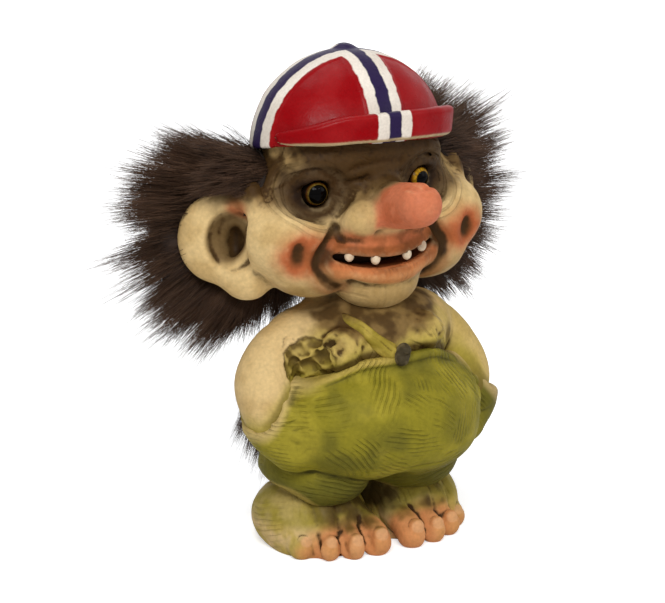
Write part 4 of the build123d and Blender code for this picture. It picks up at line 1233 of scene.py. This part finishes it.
def make_brim(material):
    clay = Clay((-36, -28, 112), (36, 16, 138), 0.4)

    def band(x, y, z):
        across, out, up = along_cap(x, y, z)
        flare = 0.14 * np.clip(up, 0, 12)
        wide, deep = (half + flare for half in BRIM_HALF)
        near = np.sqrt((across / wide) ** 2 + ((out - BRIM_OUT) / deep) ** 2)
        wall = (near - 1) * 20
        middle = 4.0 + 0.7 * ramp(across, -20, 20) - 1.6 * ramp(-across, 12, 29)
        tall = np.abs(up - middle) - 4.1 - 0.3 * ramp(across, -20, 25) + 1.6 * ramp(-across, 14, 29)
        return smooth_max(smooth_max(wall, tall, 2.0), out - 2.5 + 0.12 * across, 1.5)

    clay.add(Shape(band, CAP_CENTRE + (-34, -36, -8), CAP_CENTRE + (34, 8, 18)), 0.1)
    clay.carve(egg(CAP_CENTRE, CAP_HALF + 0.1, CAP_AXES), 0.3)
    groove = egg(CAP_CENTRE + CAP_AXES @ (0, 0, 3.5), CAP_HALF + (1.1, 1.1, 0), CAP_AXES)
    clay.carve(groove, 0.5)
    skin = skin_of(clay)
    skin = raised(skin, 0.3 * uneven(skin.points, 6, 61))
    place = cap_local(skin.points)
    place[:, 1] = FAR
    inner = ramp(-(skin.normals @ CAP_AXES[:, 2]), 0.45, 0.7)
    cap_piece("cap_brim_sculpt", skin, 0.5, place, inner, material, ("cap_brim",))


# Fur
# A lobe's strands spread from its base, and none reaches further forward than its front
BEHIND_EARS = 12.0
FurLobe = namedtuple("FurLobe", "centre half strands base front", defaults=(BEHIND_EARS,))
FUR = {
    "wig_left": (
        FurLobe((34, 28, 98.5), (32, 15, 32), 24000, (12, 22, 97)),
        FurLobe((40, 24, 84), (20, 13, 23), 9000, (22, 20, 90)),
        FurLobe((35, 15, 110), (13, 11, 14), 8000, (22, 10, 110), 4.0),
        FurLobe((36, 12, 105), (8, 7, 9), 3500, (30, 9, 112), 3.0),
    ),
    "wig_right": (
        FurLobe((-34, 28, 93.5), (32, 15, 32), 30000, (-12, 22, 97)),
        FurLobe((-27, 25, 80), (20, 12, 18), 9000, (-20, 24, 94)),
        FurLobe((-36, 15, 110), (14, 11, 14), 9000, (-22, 10, 110), 4.0),
        FurLobe((-36, 12, 105), (8, 7, 9), 3500, (-30, 9, 112), 3.0),
    ),
    "wig_back": (
        FurLobe((0, 32, 98), (37, 17, 30), 16000, (0, 24, 118)),
        FurLobe((0, 31, 84), (26, 14, 18), 8000, (0, 26, 98)),
    ),
    "tail_tuft": (FurLobe((0, 42.5, 31), (18, 8.5, 19), 8000, (0, 42.5, 42)),),
}
STRAND_SIDES = 3
STRAND_RINGS = 4
STRAND_RADIUS = 0.085
STRANDS_PER_PIECE = 9000
FUR_REACH = 77.0
UNDER_SHARE = 0.68
TEMPLE_SHARE = 0.3
FUR_DARK = rgb(38, 25, 17)
FUR_BROWN = rgb(66, 45, 31)
FUR_TIP = rgb(112, 84, 64)


def fur_material():
    material, tree, shader = new_material("fur")
    shade = range_node(tree, noise_node(tree, 300.0), 0.3, 0.7, 0.75, 1.25)
    colour = shaded(tree, stored(tree, "paint", "Color"), shade)
    connect(tree, shader, {"Base Color": colour, "Roughness": 0.5, "Specular IOR Level": 0.2})
    return material


def unit(vectors):
    return vectors / np.linalg.norm(vectors, axis=1)[:, None]


def in_cap_path(points, gap=1.0):
    """Whether points lie where the cap sits or passes as it lifts."""
    place = cap_local(points)
    crown = np.hypot(place[:, 0] / (CAP_HALF[0] + gap), place[:, 1] / (CAP_HALF[1] + gap)) < 1
    out = place[:, 1] - BRIM_OUT
    wide, deep = (half + BRIM_FLARE + gap for half in BRIM_HALF)
    brim = np.hypot(place[:, 0] / wide, out / deep) < 1
    brim = brim & (place[:, 1] < 4)
    return (crown | brim) & (place[:, 2] > -gap)


def over_ear(points):
    """Whether points lie in front of the figure's right ear, which the hair leaves open."""
    away = points * (RIGHT, 1, 1) - EAR
    near = np.hypot((away @ EAR_OUT - 1) / 12.5, (away[:, 2] + 1) / 15) < 1
    return near & (away @ EAR_FORWARD > -4)


def strands(lobe, rng):
    """Roots, middles, tips and tip colours of the strands of a lobe of fur."""
    centre, half, base = (np.array(values, float) for values in (lobe.centre, lobe.half, lobe.base))
    count = lobe.strands
    heading = unit(rng.normal(size=(count, 3)))
    tufts = unit(rng.normal(size=(count // 70, 3)))
    tuft = np.argmax(heading @ tufts.T, axis=1)
    lean = tufts + rng.normal(size=tufts.shape) * 0.16
    gathered = heading + rng.uniform(0.15, 0.95, count)[:, None] * (lean[tuft] - heading)
    flow = (centre - base) / np.linalg.norm(centre - base)
    gathered = gathered + rng.normal(size=(count, 3)) * 0.05 + 0.3 * np.outer(1 - heading @ flow, flow)
    length = rng.uniform(0.88, 1.08, len(tufts))[tuft] * rng.uniform(0.84, 1.04, count)
    length = length * np.where(rng.random(count) < 0.05, 1.12, 1.0)
    roots = base + (centre + heading * half - base) * rng.uniform(0.3, 0.62, count)[:, None]
    tips = centre + gathered * half
    tips = base + (tips - base) * length[:, None]
    tips[:, 2] -= 2.5 * length**2
    mids = (roots + tips) / 2 + heading * 1.4 + rng.normal(size=(count, 3)) * 0.8
    hue = rng.random(count)[:, None] ** 1.6
    shade = FUR_BROWN + (FUR_TIP - FUR_BROWN) * hue
    clear = (tips[:, 1] > lobe.front) & (np.abs(tips[:, 0]) < FUR_REACH)
    for points in (roots, mids, tips, (mids + tips) / 2):
        clear = clear & ~in_cap_path(points) & ~over_ear(points)
    return roots[clear], mids[clear], tips[clear], shade[clear]


def strand_mesh(roots, mids, tips, shade, rng):
    """Tapered curved strands as one surface: points, faces and colours."""
    count = len(roots)
    forward = unit(tips - roots)
    side = unit(np.cross(forward, rng.normal(size=(count, 3))))
    other = np.cross(forward, side)
    points = []
    colours = []
    for t in np.linspace(0, 1, STRAND_RINGS):
        centre = roots * (1 - t) ** 2 + 2 * mids * t * (1 - t) + tips * t**2
        radius = STRAND_RADIUS * (1 - t) ** 0.8 + 0.015
        for n in range(STRAND_SIDES):
            angle = 2 * math.pi * n / STRAND_SIDES
            points.append(centre + (side * math.cos(angle) + other * math.sin(angle)) * radius)
            colours.append(FUR_DARK + (shade - FUR_DARK) * t**1.3)
    points = np.stack(points, 1).reshape(-1, 3)
    colours = np.stack(colours, 1).reshape(-1, 3)
    faces = []
    for low in range(0, STRAND_SIDES * (STRAND_RINGS - 1), STRAND_SIDES):
        for n in range(STRAND_SIDES):
            m = (n + 1) % STRAND_SIDES
            faces.append((low + n, low + m, low + STRAND_SIDES + m, low + STRAND_SIDES + n))
    per_strand = STRAND_SIDES * STRAND_RINGS
    faces = (np.array(faces)[None] + per_strand * np.arange(count)[:, None, None]).reshape(-1, 4)
    return Skin(points, faces, None, None, None), colours


def under_fur(lobes):
    """The dark body under the strands, clear of the cap's path."""
    low = np.min([np.array(lobe.centre) - lobe.half for lobe in lobes], 0)
    high = np.max([np.array(lobe.centre) + lobe.half for lobe in lobes], 0)
    front = min(lobe.front for lobe in lobes)
    shell = Clay(low, high, 0.8)
    for lobe in lobes:
        share = UNDER_SHARE if lobe.front == BEHIND_EARS else TEMPLE_SHARE
        shell.add(egg(lobe.centre, np.array(lobe.half) * share), 4)
    shell.keep(fur_limit, 1.0)
    shell.keep(lambda x, y, z: front - y + 0 * x + 0 * z, 1.0)
    skin = skin_of(shell)
    return raised(skin, 1.5 * (cloud(skin.points, 4, 70) - 0.7))


def make_fur():
    material = fur_material()
    rng = np.random.default_rng(7)
    for name, lobes in FUR.items():
        body = "tail" if name == "tail_tuft" else "figure"
        skin = under_fur(lobes)
        paint = Paint(skin.points, FUR_DARK)
        paint.coat(FUR_BROWN, 0.5 * cloud(skin.points, 3, 71))
        piece(name + "_under", skin, paint.colour, material, body, (name,))
        grown = [np.vstack(parts) for parts in zip(*(strands(lobe, rng) for lobe in lobes))]
        for number, first in enumerate(range(0, len(grown[0]), STRANDS_PER_PIECE)):
            some = [part[first:first + STRANDS_PER_PIECE] for part in grown]
            skin, colours = strand_mesh(*some, rng)
            piece(f"{name}_strands_{number + 1}", skin, colours, material, body, ())


def fur_limit(x, y, z):
    """Below nothing where the under-fur is clear of the cap's path."""
    across, out, up = along_cap(x, y, z)
    crown = (1 - np.hypot(across / (CAP_HALF[0] + 1.5), out / (CAP_HALF[1] + 1.5))) * CAP_HALF[1]
    return np.minimum(crown, up + 1.5)


# Small parts
def dress_nodes():
    """Materials on the CAD nodes that stay as they are."""
    teeth = [f"tooth_{number}" for number in range(1, 5)]
    for name, nodes, dark, light, gloss, grain, bump in (
        ("tooth", teeth, rgb(196, 170, 140), rgb(226, 208, 178), (0.25, 0.4), 900.0, 0.00004),
        ("backing", ["wig_backing"], rgb(30, 20, 13), rgb(46, 32, 22), (0.9, 1.0), 1200.0, 0.0001),
        ("tail", ["tail"], rgb(170, 138, 88), rgb(206, 180, 130), (0.45, 0.6), 800.0, 0.0001),
    ):
        material = plain_material(name, dark, light, gloss, grain, bump)
        for node in nodes:
            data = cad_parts[node].data
            data.materials.clear()
            data.materials.append(material)


# Stage
VIEW_TURN = -33.0
VIEW_LIFT = 16.0
VIEW_DISTANCE = 1200.0
VIEW_TARGET = np.array((2.52, 21.10, 66.52))
PHOTO_WIDTH = 665
FOCAL_PIXELS = 4032.0
SENSOR = 36.0
WORLD_LIGHT = 0.30
FLOOR_REACH = 3.0
# Each lamp's name, place, the height it looks at, its size and its power
LAMPS = (
    ("key", (-0.55, -0.70, 0.90), 0.07, 0.45, 7.6),
    ("fill", (0.75, -0.6, 0.5), 0.07, 0.6, 1.5),
    ("sparkle", (-0.22, -0.75, 0.75), 0.1, 0.11, 1.5),
    ("sparkle_right", (0.30, -0.80, 0.70), 0.1, 0.07, 0.6),
    ("top", (0.0, 0.25, 1.1), 0.07, 0.7, 3.4),
)


def make_camera():
    turn, lift = math.radians(VIEW_TURN), math.radians(VIEW_LIFT)
    right = np.array((math.cos(turn), math.sin(turn), 0))
    back = np.array((math.sin(turn) * math.cos(lift), -math.cos(turn) * math.cos(lift), math.sin(lift)))
    up = np.cross(back, right)
    camera = bpy.data.cameras.new("camera")
    camera.lens = SENSOR * FOCAL_PIXELS / PHOTO_WIDTH
    camera.sensor_width = SENSOR
    camera.clip_end = 50
    obj = new_object("camera", camera)
    place = (VIEW_TARGET + origin + back * VIEW_DISTANCE) * MM
    matrix = np.eye(4)
    matrix[:3] = np.stack((right, up, back, place), 1)
    obj.matrix_world = Matrix(matrix.tolist())
    bpy.context.scene.camera = obj


def add_light(name, place, aim, size, power):
    """A round lamp that looks at a height over the origin."""
    lamp = bpy.data.lights.new(name, "AREA")
    lamp.shape = "DISK"
    lamp.size = size
    lamp.energy = power
    obj = new_object(name, lamp)
    obj.location = place
    obj.rotation_euler = (Vector(place) - Vector((0, 0, aim))).to_track_quat("Z", "Y").to_euler()


def make_world():
    """White where the camera or a gloss sees it, and a plain fill light elsewhere."""
    world = bpy.data.worlds.new("studio")
    bpy.context.scene.world = world
    world.use_nodes = True
    tree = world.node_tree
    tree.nodes.clear()
    fill, white = (
        add_node(tree, "ShaderNodeBackground", inputs={"Color": colour, "Strength": strength}).outputs[0]
        for colour, strength in (((0.95, 0.97, 1, 1), WORLD_LIGHT), ((1, 1, 1, 1), 1.0))
    )
    paths = add_node(tree, "ShaderNodeLightPath").outputs
    seen = paths["Is Camera Ray"]
    for name in ("Is Glossy Ray", "Is Transmission Ray"):
        seen = maths(tree, "MAXIMUM", seen, paths[name])
    both = add_node(tree, "ShaderNodeMixShader", inputs={0: seen, 1: fill, 2: white}).outputs[0]
    add_node(tree, "ShaderNodeOutputWorld", inputs={"Surface": both})


def make_floor():
    """A white floor that keeps the figure's shadow and glows to white away from it."""
    mesh = bpy.data.meshes.new("floor")
    corners = [(x * FLOOR_REACH, y * FLOOR_REACH, 0) for x, y in ((-1, -1), (1, -1), (1, 1), (-1, 1))]
    mesh.from_pydata(corners, [], [(0, 1, 2, 3)])
    floor = new_object("floor", mesh)
    material, tree, shader = new_material("floor")
    place = add_node(tree, "ShaderNodeTexCoord").outputs["Object"]
    away = add_node(tree, "ShaderNodeVectorMath", {"operation": "LENGTH"}, {0: place}).outputs["Value"]
    bright = range_node(tree, away, 0.25, 0.9, 0.55, 1.0)
    seen = add_node(tree, "ShaderNodeLightPath").outputs["Is Camera Ray"]
    connect(tree, shader, {
        "Base Color": (0.9, 0.9, 0.9, 1),
        "Roughness": 0.9,
        "Specular IOR Level": 0.0,
        "Emission Color": (1, 1, 1, 1),
        "Emission Strength": maths(tree, "MULTIPLY", seen, bright),
    })
    mesh.materials.append(material)


def make_stage():
    bpy.context.scene.view_settings.view_transform = "Standard"
    make_world()
    make_floor()
    for lamp in LAMPS:
        add_light(*lamp)


make_camera()
make_stage()
make_head()
make_eyes()
make_torso()
make_strap()
make_button()
make_trousers()
make_foot(LEFT, "left_foot")
make_foot(RIGHT, "right_foot")
cap_paint = cap_material()
make_crown(cap_paint)
make_brim(cap_paint)
make_fur()
dress_nodes()
